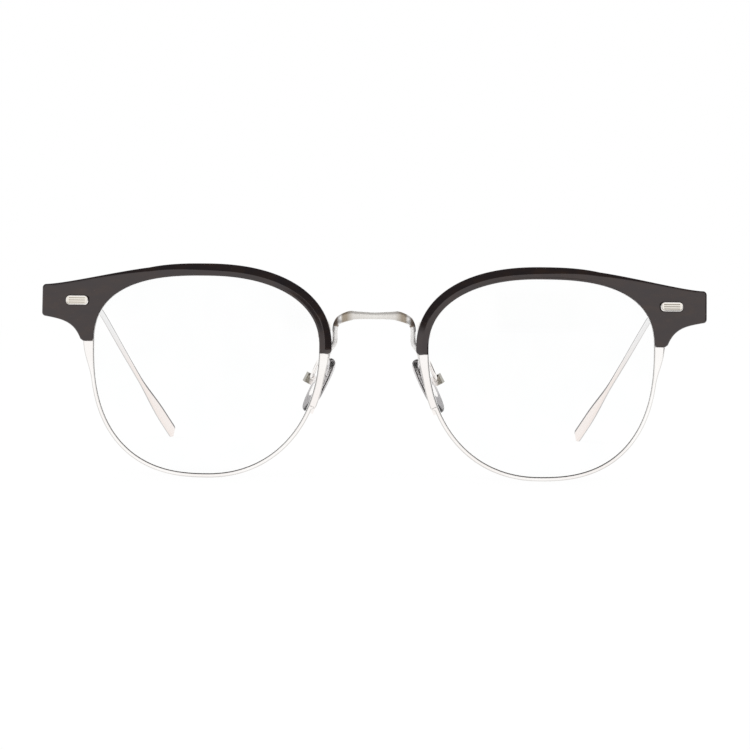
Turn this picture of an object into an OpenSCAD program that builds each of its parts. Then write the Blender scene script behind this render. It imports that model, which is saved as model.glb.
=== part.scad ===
// Browline glasses: two full metal eyewires joined by a saddle bridge, each with an acetate
// brow screwed in front of it, and two thin metal temples on three-barrel hinges.
// Millimetres. The wearer looks along -Y, +Z is up, and left and right are the wearer's:
// left is +X. The glasses stand open on the rim bottoms and the two temple tips, at Z = 0.

/* [Lens openings] */
// Gap between the two openings across the nose
nose_gap = 22.9; // [18:0.1:26]
// Opening from its widest level to its nasal edge
open_nasal = 23.8; // [21:0.1:27]
// Opening from its widest level to its temporal edge
open_temporal = 23.9; // [21:0.1:27]
// Opening above its widest level
open_top = 14.7; // [13:0.1:17]
// Opening below its widest level
open_bottom = 26.9; // [24:0.1:30]
// Squareness of the upper temporal quarter, 2 is an ellipse
square_top_temporal = 2.6; // [2:0.01:3]
// Squareness of the upper nasal quarter
square_top_nasal = 2.26; // [2:0.01:3]
// Squareness of the lower nasal quarter
square_low_nasal = 2.16; // [2:0.01:3]
// Squareness of the lower temporal quarter
square_low_temporal = 2.48; // [2:0.01:3]
// Thickness of a lens
lens_t = 1.9; // [1.2:0.1:2.4]

/* [Front curve] */
// Radius of the sphere that the front follows
base_r = 132; // [100:1:240]
// Distance of that sphere's foremost point from the middle
apex_x = 24.7; // [10:0.1:35]

/* [Rims] */
// Width of the eyewire seen from the front
rim_face = 0.9; // [0.7:0.05:1.2]
// Depth of the eyewire from front to back
rim_depth = 2.0; // [1.8:0.05:2.6]
// Width of the eyewire beside the nose, above its closing block
rim_nasal = 1.6; // [1.2:0.05:1.8]
// Width of the shoulders that the ends of a brow stand on
rim_shoulder = 2.05; // [1.8:0.05:2.3]
// Length over which a shoulder tapers off
shoulder_taper = 5.5; // [3:0.5:9]
// Depth of the lens groove
groove_depth = 0.55; // [0.4:0.05:0.6]
// Width of the lens groove at its mouth
groove_w = 1.0; // [0.8:0.05:1.2]
// Height of the closing block above the table
split_z = 15.6; // [10:0.1:20]
// Gap between the two ends of the eyewire
split_gap = 0.12; // [0.05:0.01:0.3]
// Length of each half of the closing block
block_len = 1.5; // [1.2:0.1:2]
// Width of the closing block
block_w = 1.5; // [1.3:0.1:1.6]
// Height of the closing block behind the eyewire
block_h = 1.7; // [1.5:0.1:2.2]
// Diameter of the closing screw
block_screw_d = 0.8; // [0.6:0.05:0.9]

/* [Brows] */
// Width of a brow's band over the lens
brow_band = 2.6; // [2.2:0.05:3.2]
// Width that the band gains at its upper nasal corner
brow_gain = 0.2; // [0:0.05:0.6]
// Distance of a brow's face before the lens surface
brow_front = 2.3; // [2:0.1:3]
// Distance of a brow's back behind the lens surface
brow_back = 1.6; // [1.3:0.05:2]
// Width of the bevel along the upper edge, over the lens and the nose
brow_bevel_w = 1.4; // [0.8:0.05:1.7]
// Width to which the bevel narrows at the outer end
brow_bevel_end = 0.25; // [0.1:0.05:0.6]
// Depth of the bevel over the lens
brow_bevel_d = 0.9; // [0.3:0.05:1.2]
// Edge break along the lens and at the back
brow_break = 0.3; // [0.15:0.05:0.4]
// Distance of a brow's outer end from the middle
brow_end_x = 70.5; // [68:0.1:73]
// Height of the outer end's upper corner
brow_end_top = 40.4; // [39:0.1:42]
// Height of the outer end's lower corner
brow_end_low = 33.6; // [32:0.1:35]
// Radius of the corners at the outer end
brow_corner = 0.8; // [0.4:0.1:1.2]
// Height of the temporal leg's foot
leg_z = 28.5; // [28.2:0.1:30]
// Width of the temporal leg's foot
leg_w = 2.7; // [2.3:0.1:3.2]
// Height of the nasal end's foot
brow_foot_z = 26.5; // [24:0.1:27.5]
// Radius of the nasal end's outer corner
foot_corner = 0.8; // [0.4:0.1:1.2]

/* [Plaques] */
// Length of a plaque
plaque_w = 5.1; // [4:0.1:6]
// Height of a plaque
plaque_h = 2.2; // [1.6:0.1:2.8]
// Thickness of a plaque
plaque_t = 0.75; // [0.6:0.05:1]
// Depth to which a plaque is let into its brow
plaque_inlay = 0.4; // [0.3:0.05:0.5]
// Distance of a plaque's middle from the middle of the front
plaque_x = 62.3; // [60:0.1:64]
// Height of a plaque's middle
plaque_z = 36.75; // [36:0.05:38]
// Diameter of a plaque's two pins
plaque_pin_d = 0.8; // [0.6:0.05:1]

/* [Bridge] */
// Height of the bar in the middle
bar_h = 1.4; // [1.2:0.05:1.8]
// Height of the bar at its shoulders
bar_shoulder_h = 2.0; // [1.6:0.05:2.2]
// Depth of the bar
bar_depth = 1.7; // [1.4:0.05:2.2]
// Height of the bar's middle above the table
bar_z = 34.5; // [33:0.1:37]
// Distance of the bar's shoulders from the middle
bar_shoulder_x = 4.9; // [4:0.1:6]
// Distance of the bridge feet from the middle
foot_x = 8.25; // [7.9:0.05:8.4]
// Width of a bridge foot
foot_w = 1.15; // [1:0.05:1.3]

/* [Lugs and hinges] */
// Height of the lugs and hinges above the table
hinge_z = 37; // [36.5:0.1:37.5]
// Distance of the hinge axis from the middle
hinge_x = 65; // [64.8:0.05:65.2]
// Straight length of a lug's arm, from its bend back to the hinge axis
lug_arm = 3.2; // [2.8:0.1:6]
// Thickness of a lug
lug_t = 1.1; // [0.9:0.05:1.3]
// Height of a lug and of the temple where they meet
lug_h = 3.0; // [2.6:0.1:3.4]
// Radius of a hinge barrel
barrel_r = 1.1; // [1:0.05:1.2]
// Height of the temple's barrel
barrel_h = 1.1; // [0.9:0.05:1.2]
// Height of each of the front's two barrels
outer_barrel_h = 1.1; // [0.9:0.05:1.2]
// Diameter of a hinge screw
hinge_screw_d = 1.2; // [1:0.05:1.3]
// Diameter of a hinge screw's head
hinge_head_d = 1.9; // [1.7:0.05:2]
// Length of a hinge leaf along the temple
leaf_len = 4.2; // [3:0.1:6]

/* [Brow screws] */
// Diameter of a brow screw
brow_screw_d = 1.0; // [0.8:0.05:1.1]
// Diameter of a brow screw's head
brow_head_d = 1.6; // [1.4:0.05:1.8]
// Depth to which a brow screw goes into the acetate
brow_screw_depth = 1.7; // [1.2:0.1:2]
// Distance of the temporal brow screw from the middle
screw_x = 60.2; // [59:0.1:61]
// Height of the nasal brow screw
tab_z = 32.2; // [31:0.1:33]

/* [Temples] */
// Thickness of a temple's blade
blade_t = 1.0; // [0.9:0.05:1.3]
// Height of a blade where the ear bend starts
blade_h = 1.3; // [1.1:0.1:2.8]
// Distance of the ear bend's start behind the hinge axis
bend_y = 77; // [70:0.5:82]
// Drop of the blade from the hinge to the ear bend
bend_drop = 3.0; // [2:0.1:4]
// Distance of the temple tip behind the hinge axis
tip_y = 137; // [128:0.5:146]
// Distance of the temple tip from the middle
tip_x = 53.2; // [48:0.1:58]
// Height of the flattened tip
paddle_h = 4.4; // [3:0.1:5]
// Thickness of the flattened tip
paddle_t = 1.0; // [0.8:0.05:1.3]

/* [Nose pads] */
// Length of a nose pad
pad_len = 12.6; // [11:0.1:14]
// Width of a nose pad
pad_w = 7.0; // [6:0.1:8]
// Thickness of a nose pad
pad_t = 1.9; // [1.6:0.1:2.4]
// Distance of a pad's middle from the middle of the front
pad_x = 11.5; // [11:0.1:12.5]
// Distance of a pad's middle behind the front curve's foremost point
pad_y = 8.2; // [8:0.1:9]
// Height of a pad's middle
pad_z = 19.5; // [19:0.1:20.5]
// Lean of a pad from the vertical, its top towards the nose
pad_lean = 27.5; // [22:0.5:32]
// Splay of a pad, its rear edge away from the nose
pad_splay = 15; // [8:0.5:22]
// Diameter of the pad arm's wire
wire_d = 0.85; // [0.7:0.05:1]
// Diameter of the pad screw
pad_screw_d = 0.7; // [0.6:0.05:0.8]
// Distance of the pad screw behind the pad's middle plane
pad_screw_off = 2.5; // [2.4:0.05:2.8]

/* [Hidden] */

// Clearance of soldered and glued faces
seat = 0.02;
// Clearance round a lens in its groove
lens_fit = 0.05;
// Radial clearance of a screw in its thread, and of a barrel that turns on it
thread_fit = 0.02;
turn_fit = 0.04;
// Gap between the barrels of a hinge, and between the butting ends of lug and temple
barrel_gap = 0.06;
butt_gap = 0.1;
// Angle between the stations of a rim, a lens or a brow
step = 4;

metal = [0.86, 0.84, 0.81];
acetate = [0.13, 0.11, 0.11];
clear = [0.85, 0.92, 0.95, 0.35];
smoke = [0.45, 0.44, 0.46, 0.6];

// Middle of the opening's widest level, and the height of the front curve's foremost point
lens_x = nose_gap / 2 + open_nasal;
lens_z = rim_face + open_bottom;
apex_z = rim_face + (open_top + open_bottom) / 2;

// Outline of a lens opening

function quarter(t) =
    t < 90 ? [open_temporal, open_top, square_top_temporal] :
    t < 180 ? [open_nasal, open_top, square_top_nasal] :
    t < 270 ? [open_nasal, open_bottom, square_low_nasal] :
    [open_temporal, open_bottom, square_low_temporal];

function turn(t) = t - 360 * floor(t / 360);

// Point of the opening at angle t from its temporal side, as [x, z]
function edge(t) =
    let (q = quarter(turn(t)), c = cos(t), s = sin(t))
    [lens_x + sign(c) * q[0] * pow(abs(c), 2 / q[2]),
     lens_z + sign(s) * q[1] * pow(abs(s), 2 / q[2])];

// Direction square to the opening at angle t
function outward(t) =
    let (q = quarter(turn(t)), c = cos(t), s = sin(t),
         g = [sign(c) * pow(abs(c), 2 - 2 / q[2]) / q[0],
              sign(s) * pow(abs(s), 2 - 2 / q[2]) / q[1]])
    g / norm(g);

function beyond(t, r) = edge(t) + r * outward(t);

// Angles at which the opening reaches a height on its upper temporal and lower nasal quarters
function temporal_at(z) = asin(pow((z - lens_z) / open_top, square_top_temporal / 2));
function nasal_at(z) = 180 + asin(pow((lens_z - z) / open_bottom, square_low_nasal / 2));
function high_nasal_at(z) = 180 - asin(pow((z - lens_z) / open_top, square_top_nasal / 2));

leg_t = temporal_at(leg_z);
foot_t = nasal_at(brow_foot_z);
split_t = nasal_at(split_z);

// Front curve: how far back its surface lies at p = [x, z]
function base_y(p) =
    base_r - sqrt(base_r * base_r - pow(p[0] - apex_x, 2) - pow(p[1] - apex_z, 2));

function on_curve(p, d) = [p[0], base_y(p) + d, p[1]];

// Lugs: gap behind the brow, inner radius of the bend, and the arm's two sides, which stand
// out from the hinge axis by a barrel and the leaf's own distance
lug_gap = 0.48;
lug_bend = 1.4;
leaf_in = 0.3;
arm_inner_x = hinge_x + barrel_r + leaf_in;
arm_outer_x = arm_inner_x + lug_t;
bend_x = arm_inner_x - lug_bend;

function lug_front(x) = base_y([x, hinge_z]) + brow_back + lug_gap;

bend_y0 = lug_front(bend_x) + lug_t + lug_bend;
hinge_y = bend_y0 + lug_arm;

// The origin lies under the middle of the whole part
tip_end = 1.2;
middle_y = (hinge_y + tip_y + tip_end - brow_front / 2) / 2;

// Small helpers

function ramp(v, from, to) =
    let (u = min(1, max(0, (v - from) / (to - from)))) u * u * (3 - 2 * u);

function unit(v) = v / norm(v);

function bezier(p, u) =
    pow(1 - u, 3) * p[0] + 3 * u * pow(1 - u, 2) * p[1] + 3 * u * u * (1 - u) * p[2]
    + pow(u, 3) * p[3];

function slope(p, u) =
    unit(pow(1 - u, 2) * (p[1] - p[0]) + 2 * u * (1 - u) * (p[2] - p[1])
         + u * u * (p[3] - p[2]));

function arc(centre, r, from, to, steps) =
    [for (k = [0:steps]) let (a = from + (to - from) * k / steps)
        centre + r * [cos(a), sin(a)]];

// Rounded rectangle w by h with n points
function oval(w, h, n, e = 3) =
    [for (k = [0:n - 1]) let (a = 360 * (k + 0.5) / n, c = cos(a), s = sin(a))
        [w / 2 * sign(c) * pow(abs(c), 2 / e), h / 2 * sign(s) * pow(abs(s), 2 / e)]];

// Profile laid square to direction dir at point p, its first axis nearest to across
function ring(p, dir, across, profile) =
    let (a = unit(across - dir * (across * dir)), b = cross(dir, a))
    [for (q = profile) p + q[0] * a + q[1] * b];

module skin(rings) {
    n = len(rings[0]);
    m = len(rings);
    sides = [for (i = [0:m - 2], j = [0:n - 1]) let (k = (j + 1) % n) each [
        [i * n + j, (i + 1) * n + k, i * n + k],
        [i * n + j, (i + 1) * n + j, (i + 1) * n + k]]];
    caps = [[for (j = [0:n - 1]) j], [for (j = [n - 1:-1:0]) (m - 1) * n + j]];
    polyhedron([for (r = rings) each r], concat(sides, caps));
}

// Everything is drawn from the front curve's foremost point and then moved to the origin
module place() {
    translate([0, -middle_y, 0]) children();
}

module left() {
    place() children();
}

module right() {
    place() mirror([1, 0, 0]) children();
}

// Stands children on the front curve at [x, z], +Y square to it and pointing back
module on_front(x, z) {
    y = base_y([x, z]);
    translate([x, y, z])
        rotate([asin((apex_z - z) / base_r), 0, atan2(x - apex_x, base_r - y)]) children();
}

// A profile of the front, drawn in x and z and extruded along Y
module upright(from, to) {
    translate([0, to, 0]) rotate([90, 0, 0]) linear_extrude(to - from) children();
}

module curve_ball(d) {
    translate([apex_x, base_r, apex_z]) sphere(r = base_r - d, $fn = 180);
}

module curve_layer(front, back) {
    difference() {
        curve_ball(front);
        curve_ball(back);
    }
}

// Rims

// Width of the eyewire below a brow's end, at height z
function temporal_face(z) =
    rim_face + (rim_shoulder - rim_face) * ramp(z, leg_z - shoulder_taper, leg_z);
function nasal_face(z) =
    rim_nasal + (rim_shoulder - rim_nasal) * ramp(z, brow_foot_z - shoulder_taper, brow_foot_z);
function low_face(t) = rim_face + (rim_nasal - rim_face) * ramp(t, split_t + 1, split_t);

split_half = split_gap / 2 / norm(edge(split_t + 1) - edge(split_t));
shoulder_step = 0.2;
low_steps = round((360 + leg_t - split_t) / step);
high_steps = round((foot_t - leg_t) / step);
nose_steps = round((split_t - foot_t) / step);

// Stations [angle, width] from the closing block under the lens, over it and back
rim_stations = concat(
    [for (k = [0:low_steps])
        let (t = split_t + split_half
                 + (360 + leg_t - shoulder_step - split_t - split_half) * k / low_steps)
        [t, t < 270 ? low_face(t) : temporal_face(edge(t)[1])]],
    [for (k = [0:high_steps]) [360 + leg_t + (foot_t - leg_t) * k / high_steps, rim_face]],
    [for (k = [0:nose_steps])
        let (t = foot_t + shoulder_step
                 + (split_t - split_half - foot_t - shoulder_step) * k / nose_steps)
        [360 + t, nasal_face(edge(t)[1])]]
);

rim_break = 0.15;
rim_crown = 0.03;
rim_round = 0.28;
groove_floor = 0.76;

function rim_profile(w) =
    let (h = rim_depth / 2, g = groove_w / 2)
    [[rim_crown, rim_break - h], [rim_break, -h], [w - rim_round, -h], [w, rim_round - h],
     [w, h - rim_round], [w - rim_round, h], [rim_break, h], [rim_crown, h - rim_break],
     [0, g], [groove_depth, g * groove_floor], [groove_depth, -g * groove_floor], [0, -g]];

function rim_ring(t, w) = [for (q = rim_profile(w)) on_curve(beyond(t, q[0]), q[1])];

module rim() {
    color(metal) skin([for (s = rim_stations) rim_ring(s[0], s[1])]);
}

// Lenses, with a tongue round the edge that lies in the groove

module lens_outline(r) {
    polygon([for (t = [0:step:359]) beyond(t, r)]);
}

module lens() {
    tongue_t = groove_w * groove_floor - 2 * lens_fit;
    reach = lens_t + base_r / 8;
    color(clear) union() {
        intersection() {
            upright(-reach, reach) lens_outline(-lens_fit);
            curve_layer(-lens_t / 2, lens_t / 2);
        }
        intersection() {
            upright(-reach, reach) lens_outline(groove_depth - lens_fit);
            curve_layer(-tongue_t / 2, tongue_t / 2);
        }
    }
}

// Closing block behind the split in the eyewire

module at_split() {
    p = beyond(split_t, rim_face - block_w / 2 + (rim_nasal - rim_face));
    n = outward(split_t);
    on_front(p[0], p[1]) rotate([0, -atan2(n[1], n[0]), 0])
        translate([0, rim_depth / 2 + seat, 0]) children();
}

block_screw_y = block_h / 2;
block_head_d = block_screw_d * 1.5;
block_head_h = 0.35;

// One half on each side of the split, the head's half with a seat for the screw head
module rim_block() {
    color(metal) at_split() difference() {
        for (side = [-1, 1])
            translate([-block_w / 2, 0, side < 0 ? -block_len - split_gap / 2 : split_gap / 2])
                cube([block_w, block_h, block_len]);
        translate([0, block_screw_y, -block_len - 1])
            cylinder(d = block_screw_d + 2 * thread_fit, h = 2 * block_len + 2, $fn = 32);
        translate([0, block_screw_y, block_len + split_gap / 2 - block_head_h])
            cylinder(d = block_head_d + 2 * thread_fit, h = 1, $fn = 32);
    }
}

module slot(d, depth) {
    translate([-d, -d / 10, -depth]) cube([2 * d, d / 5, 2 * depth]);
}

module rim_block_screw() {
    top = block_len + split_gap / 2;
    color(metal) at_split() translate([0, block_screw_y, 0]) difference() {
        union() {
            translate([0, 0, -top])
                cylinder(d = block_screw_d, h = 2 * top - block_head_h + 2 * seat, $fn = 32);
            translate([0, 0, top - block_head_h + seat])
                cylinder(d = block_head_d, h = block_head_h - seat, $fn = 32);
        }
        translate([0, 0, top]) slot(block_head_d, block_head_h / 2);
    }
}

// Brows

// Angle at which the outer end leaves the even band over the lens
flare_t = 67;

// The band is fullest at this angle and falls off over this many degrees to each side
full_t = 135;
full_reach = 45;

function band(t) = brow_band + brow_gain * ramp(abs(t - full_t), full_reach, 0);

// The bevel narrows between these distances from the middle
bevel_full_x = 38;
bevel_end_x = 62;

function bevel_w(x) =
    brow_bevel_w + (brow_bevel_end - brow_bevel_w) * ramp(x, bevel_full_x, bevel_end_x);

// The outer end's outline, from the leg's foot round to the band
end_turns = 3;
under_steps = 8;
over_steps = 8;
leg_edge = edge(leg_t) + [leg_w, 0];
band_start = beyond(flare_t, brow_band);
low_start = [brow_end_x - brow_corner, brow_end_low];
top_end = [brow_end_x - brow_corner, brow_end_top];
under_curve = [leg_edge, leg_edge + [1.5, 3.7], low_start - [3.4, 0.6], low_start];
over_curve = [top_end, top_end - [4.9, -0.25], band_start + [7.4, -1.0], band_start];
end_outline = concat(
    [for (k = [0:under_steps]) bezier(under_curve, k / under_steps)],
    arc(low_start + [0, brow_corner], brow_corner, -60, 0, end_turns - 1),
    arc(top_end - [0, brow_corner], brow_corner, 0, 60, end_turns - 1),
    [for (k = [0:over_steps]) bezier(over_curve, k / over_steps)]
);

// How far the nasal end is drawn in by its rounded corner, at a height above the foot
function rounding(rise, r) = rise >= r ? 0 : r - sqrt(max(0, r * r - pow(r - rise, 2)));

foot_rises = [0, 0.06, 0.3, 1];
end_spread = 1.35;

// Stations [inner point, outer point, angle] from the leg over the lens to the nose
end_count = len(end_outline);
brow_stations = concat(
    [for (k = [0:end_count - 1])
        let (t = leg_t + (flare_t - leg_t) * pow(k / (end_count - 1), end_spread))
        [edge(t), end_outline[k], t]],
    [for (k = [1:high_steps])
        let (t = flare_t + (foot_t - flare_t) * k / high_steps)
        if (t < 180 || edge(t)[1] > brow_foot_z + foot_corner)
            [edge(t), beyond(t, band(t)), t]],
    [for (k = [len(foot_rises) - 1:-1:0])
        let (rise = foot_rises[k] * foot_corner, t = nasal_at(brow_foot_z + rise))
        [edge(t), beyond(t, band(t) - rounding(rise, foot_corner)), t]]
);

rebate = rim_face + lens_fit;
rebate_front = -rim_depth / 2 - lens_fit;

// Section of a brow m wide, from its lens side, with a bevel b wide
function brow_profile(m, rebate_w, b) =
    [[0, brow_break - brow_front], [brow_break, -brow_front],
     [m - b, -brow_front], [m, brow_bevel_d * b / brow_bevel_w - brow_front],
     [m, brow_back - brow_break], [m - brow_break, brow_back],
     [rebate_w, brow_back], [rebate_w, rebate_front], [0, rebate_front]];

function brow_ring(s) =
    let (m = norm(s[1] - s[0]), dir = (s[1] - s[0]) / m)
    [for (q = brow_profile(m, rebate / (dir * outward(s[2])), bevel_w(s[1][0])))
        on_curve(s[0] + q[0] * dir, q[1])];

module brow() {
    color(acetate) difference() {
        skin([for (s = brow_stations) brow_ring(s)]);
        plaque_place() {
            translate([0, -1, 0]) plaque_body(1 + plaque_inlay, lens_fit);
            plaque_pins(plaque_pin_d + 2 * seat, plaque_pin_len + 0.2);
        }
        temporal_screw_place() brow_screw_hole();
        nasal_screw_place() brow_screw_hole();
    }
}

// Plaques: bevelled lozenges with three grooves, held by two pins

plaque_corner = plaque_h / 3;
plaque_bevel = 0.22;
plaque_pin_x = plaque_w / 4;
plaque_pin_len = 1.5;
groove_pitch = 0.5;

module plaque_place() {
    on_front(plaque_x, plaque_z) translate([0, -brow_front, 0]) children();
}

// Lozenge outline, drawn in along its edge by inset
module plaque_outline(inset) {
    w = plaque_w / 2 - inset;
    h = plaque_h / 2 - inset;
    c = plaque_corner;
    polygon([[w, h - c], [w - c, h], [c - w, h], [-w, h - c],
             [-w, c - h], [c - w, -h], [w - c, -h], [w, c - h]]);
}

// Lozenge from Y = 0 back to depth
module plaque_body(depth, grow) {
    upright(0, depth) plaque_outline(-grow);
}

module plaque_pins(d, length) {
    for (side = [-1, 1])
        translate([side * plaque_pin_x, plaque_inlay - 0.05, 0]) rotate([-90, 0, 0])
            cylinder(d = d, h = length + 0.05, $fn = 32);
}

module plaque() {
    proud = plaque_t - plaque_inlay + seat;
    color(metal) plaque_place() {
        difference() {
            union() {
                translate([0, plaque_bevel - proud, 0])
                    plaque_body(plaque_t - plaque_bevel, 0);
                translate([0, -proud, 0]) upright(0, plaque_bevel + 0.01)
                    plaque_outline(plaque_bevel);
            }
            for (k = [-1:1])
                translate([-plaque_w / 2 + 0.8, -proud - 1, k * groove_pitch - 0.07])
                    cube([plaque_w - 1.6, 1.1, 0.14]);
        }
        plaque_pins(plaque_pin_d, plaque_pin_len);
    }
}

// Lugs: strips soldered to the backs of the rims, bent back to the hinges

lug_t_angle = temporal_at(hinge_z);
lug_foot_x = beyond(lug_t_angle, rim_face)[0];
// Distance of a lug from the edge of the opening, so that the rim hides it
lug_clear = 0.3;

module lug_plan() {
    xs = [for (k = [0:6]) lug_foot_x - 1 + (bend_x - lug_foot_x + 1) * k / 6];
    polygon(concat(
        [for (x = xs) [x, lug_front(x)]],
        arc([bend_x, bend_y0], lug_bend + lug_t, -80, 0, 8),
        [[arm_outer_x, hinge_y - butt_gap], [arm_inner_x, hinge_y - butt_gap]],
        arc([bend_x, bend_y0], lug_bend, 0, -80, 5),
        [for (k = [6:-1:0]) [xs[k], lug_front(xs[k]) + lug_t]]
    ));
}

// The foot fills the step between the eyewire's back and the strip
module lug_foot() {
    n = outward(lug_t_angle);
    p = beyond(lug_t_angle, rim_face / 2);
    on_front(p[0], p[1]) rotate([0, -atan2(n[1], n[0]), 0])
        translate([-rim_face / 2, rim_depth / 2 + seat, -lug_h / 2])
            cube([rim_face, brow_back + lug_gap + lug_t / 2 - rim_depth / 2, lug_h]);
}

module lug() {
    color(metal) difference() {
        union() {
            translate([0, 0, hinge_z - lug_h / 2]) linear_extrude(lug_h) lug_plan();
            lug_foot();
        }
        temporal_screw_place()
            cylinder(d = brow_screw_d + 2 * turn_fit, h = 8, center = true, $fn = 32);
        upright(0, hinge_y) lens_outline(lug_clear);
    }
}

// Brow screws, through the lug and through a tab on the bridge foot. Z points into the brow

tab_t = 0.7;
tab_gap = 0.2;
tab_rim = 0.25;
tab_clear = 0.15;
brow_head_h = 0.5;
// Room between the curved lug and the flat head of its screw
lug_slack = 0.12;

// The head's seat lies at the origin
module temporal_screw_place() {
    p = [screw_x, hinge_z];
    on_front(p[0], p[1]) translate([0, brow_back + lug_gap + lug_t + lug_slack, 0])
        rotate([90, 0, 0]) children();
}

tab_x = beyond(high_nasal_at(tab_z), (rim_face + brow_band) / 2)[0];

// The front face of the tab lies at the origin, and the tab is square to Y
module tab_place() {
    translate([tab_x, base_y([tab_x, tab_z]) + brow_back + tab_gap, tab_z]) children();
}

module nasal_screw_place() {
    tab_place() translate([0, tab_t, 0]) rotate([90, 0, 0]) children();
}

module brow_screw(through) {
    color(metal) difference() {
        union() {
            translate([0, 0, -brow_head_h - seat]) cylinder(d = brow_head_d, h = brow_head_h, $fn = 32);
            translate([0, 0, -0.1])
                cylinder(d = brow_screw_d, h = through + brow_screw_depth + 0.1, $fn = 32);
        }
        translate([0, 0, -brow_head_h - seat]) slot(brow_head_d, 0.25);
    }
}

temporal_through = lug_gap + lug_t + lug_slack;
nasal_through = tab_gap + tab_t;

module brow_screw_hole() {
    cylinder(d = brow_screw_d + 2 * thread_fit, h = temporal_through + brow_screw_depth + 0.1, $fn = 32);
}

module brow_screw_pair() {
    temporal_screw_place() brow_screw(temporal_through);
    nasal_screw_place() brow_screw(nasal_through);
}

// Tab behind the brow, from the bridge foot out to the screw
module brow_tab() {
    tab_r = brow_head_d / 2 + tab_rim;
    start = foot_x + foot_w / 2 + tab_clear - tab_x;
    color(metal) tab_place() difference() {
        upright(0, tab_t) union() {
            circle(r = tab_r, $fn = 48);
            translate([start, -tab_r]) square([-start, 2 * tab_r]);
        }
        rotate([-90, 0, 0]) cylinder(d = brow_screw_d + 2 * turn_fit, h = 4, center = true, $fn = 32);
    }
}

// Hinges: two outer barrels on the lug, one middle barrel on the temple

outer_z = barrel_h / 2 + barrel_gap;
hinge_h = 2 * (outer_z + outer_barrel_h);
leaf_t = barrel_r - seat;
swing_gap = barrel_r + 0.2;

module at_hinge() {
    translate([hinge_x, hinge_y, hinge_z]) children();
}

module barrel(from, to, way) {
    translate([0, 0, from]) cylinder(r = barrel_r, h = to - from, $fn = 48);
    translate([0, way < 0 ? -swing_gap - 0.2 : 0, from]) cube([barrel_r, swing_gap + 0.2, to - from]);
}

module hinge_bore(fit) {
    translate([0, 0, -hinge_h]) cylinder(d = hinge_screw_d + 2 * fit, h = 2 * hinge_h, $fn = 48);
}

module leaf(way, length) {
    translate([leaf_in, way < 0 ? -swing_gap - length : swing_gap, -hinge_h / 2])
        cube([leaf_t, length, hinge_h]);
}

module hinge_front() {
    color(metal) at_hinge() difference() {
        union() {
            barrel(outer_z, outer_z + outer_barrel_h, -1);
            barrel(-outer_z - outer_barrel_h, -outer_z, -1);
            leaf(-1, min(lug_arm - swing_gap, leaf_len));
        }
        hinge_bore(thread_fit);
    }
}

module hinge_rear() {
    color(metal) at_hinge() difference() {
        union() {
            barrel(-barrel_h / 2, barrel_h / 2, 1);
            leaf(1, leaf_len);
        }
        hinge_bore(turn_fit);
    }
}

hinge_head_h = 0.5;

module hinge_screw() {
    color(metal) at_hinge() difference() {
        union() {
            translate([0, 0, -hinge_h / 2]) cylinder(d = hinge_screw_d, h = hinge_h + 0.1, $fn = 48);
            translate([0, 0, hinge_h / 2 + seat]) cylinder(d = hinge_head_d, h = hinge_head_h, $fn = 48);
        }
        translate([0, 0, hinge_h / 2 + seat + hinge_head_h]) slot(hinge_head_d, 0.25);
    }
}

// Temples: a flat blade, an ear bend and a flattened tip, all one piece

blade_x = arm_inner_x + blade_t / 2;
blade_end = [blade_x, hinge_y + bend_y, hinge_z - bend_drop];
blade_dir = unit([0, bend_y, -bend_drop]);
tip_dir = unit([-0.2, 0.8, -0.43]);
tip_upright = sqrt(1 - tip_dir[2] * tip_dir[2]);

// The tip is rounded off over its last stations [place along tip_end, share of the height]
tip_round = [[0, 1], [0.5, 0.96], [0.85, 0.84], [1.05, 0.64], [1.15, 0.4]];
tip_drop = max([for (q = tip_round)
    paddle_h / 2 * q[1] * tip_upright - tip_dir[2] * q[0] * tip_end]);
tip = [tip_x, hinge_y + tip_y, tip_drop];
ear_near = 12;
ear_far = 42;
ear_curve = [blade_end, blade_end + ear_near * blade_dir, tip - ear_far * tip_dir, tip];
ear_steps = 26;

// The tip widens between these two places along the ear bend
paddle_from = 0.68;
paddle_to = 0.8;

function temple_h(u) = blade_h + (paddle_h - blade_h) * ramp(u, paddle_from, paddle_to);
function temple_t(u) = blade_t + (paddle_t - blade_t) * u;

module ear_part() {
    profile_n = 12;
    tip_rings = [for (q = tip_round) if (q[0] > 0)
        ring(tip + tip_dir * q[0] * tip_end, tip_dir, [1, 0, 0],
             oval(paddle_t * (0.4 + 0.6 * q[1]), paddle_h * q[1], profile_n, 4))];
    skin(concat(
        [for (k = [0:ear_steps]) let (u = k / ear_steps)
            ring(bezier(ear_curve, u), slope(ear_curve, u), [1, 0, 0],
                 oval(temple_t(u), temple_h(u), profile_n, 6))],
        tip_rings
    ));
}

module blade() {
    y0 = hinge_y;
    y1 = blade_end[1] + 0.4;
    low = blade_h / 2;
    high = lug_h / 2;
    translate([arm_inner_x, 0, 0]) rotate([90, 0, 90]) linear_extrude(blade_t)
        polygon([[y0, hinge_z - high], [y1, blade_end[2] - low], [y1, blade_end[2] + low],
                 [y0, hinge_z + high]]);
}

module temple() {
    color(metal) union() {
        blade();
        ear_part();
    }
}

// Nose pads

module at_pad() {
    translate([pad_x, pad_y, pad_z]) rotate([0, -pad_lean, 0]) rotate([0, 0, -pad_splay])
        children();
}

pad_screw_z = 0.3;
pad_round = [[-0.5, 0.42], [-0.42, 0.76], [-0.25, 0.94], [0.05, 1], [0.38, 0.95], [0.5, 0.8]];
core_t = 0.4;
core_w = 3.2;
core_len = 6.4;

// The cushion: an oval with a flat back and a domed face towards the nose
module nose_pad() {
    n = 28;
    color(smoke) at_pad() difference() {
        skin([for (q = pad_round)
            [for (o = oval(pad_w * q[1], pad_len * (1 - (1 - q[1]) * pad_w / pad_len), n, 2.25))
                [q[0] * pad_t, o[0], o[1]]]]);
        translate([pad_t / 2 - core_t - seat, 0, pad_screw_z]) core_plate(core_t + 1, seat);
    }
}

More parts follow.
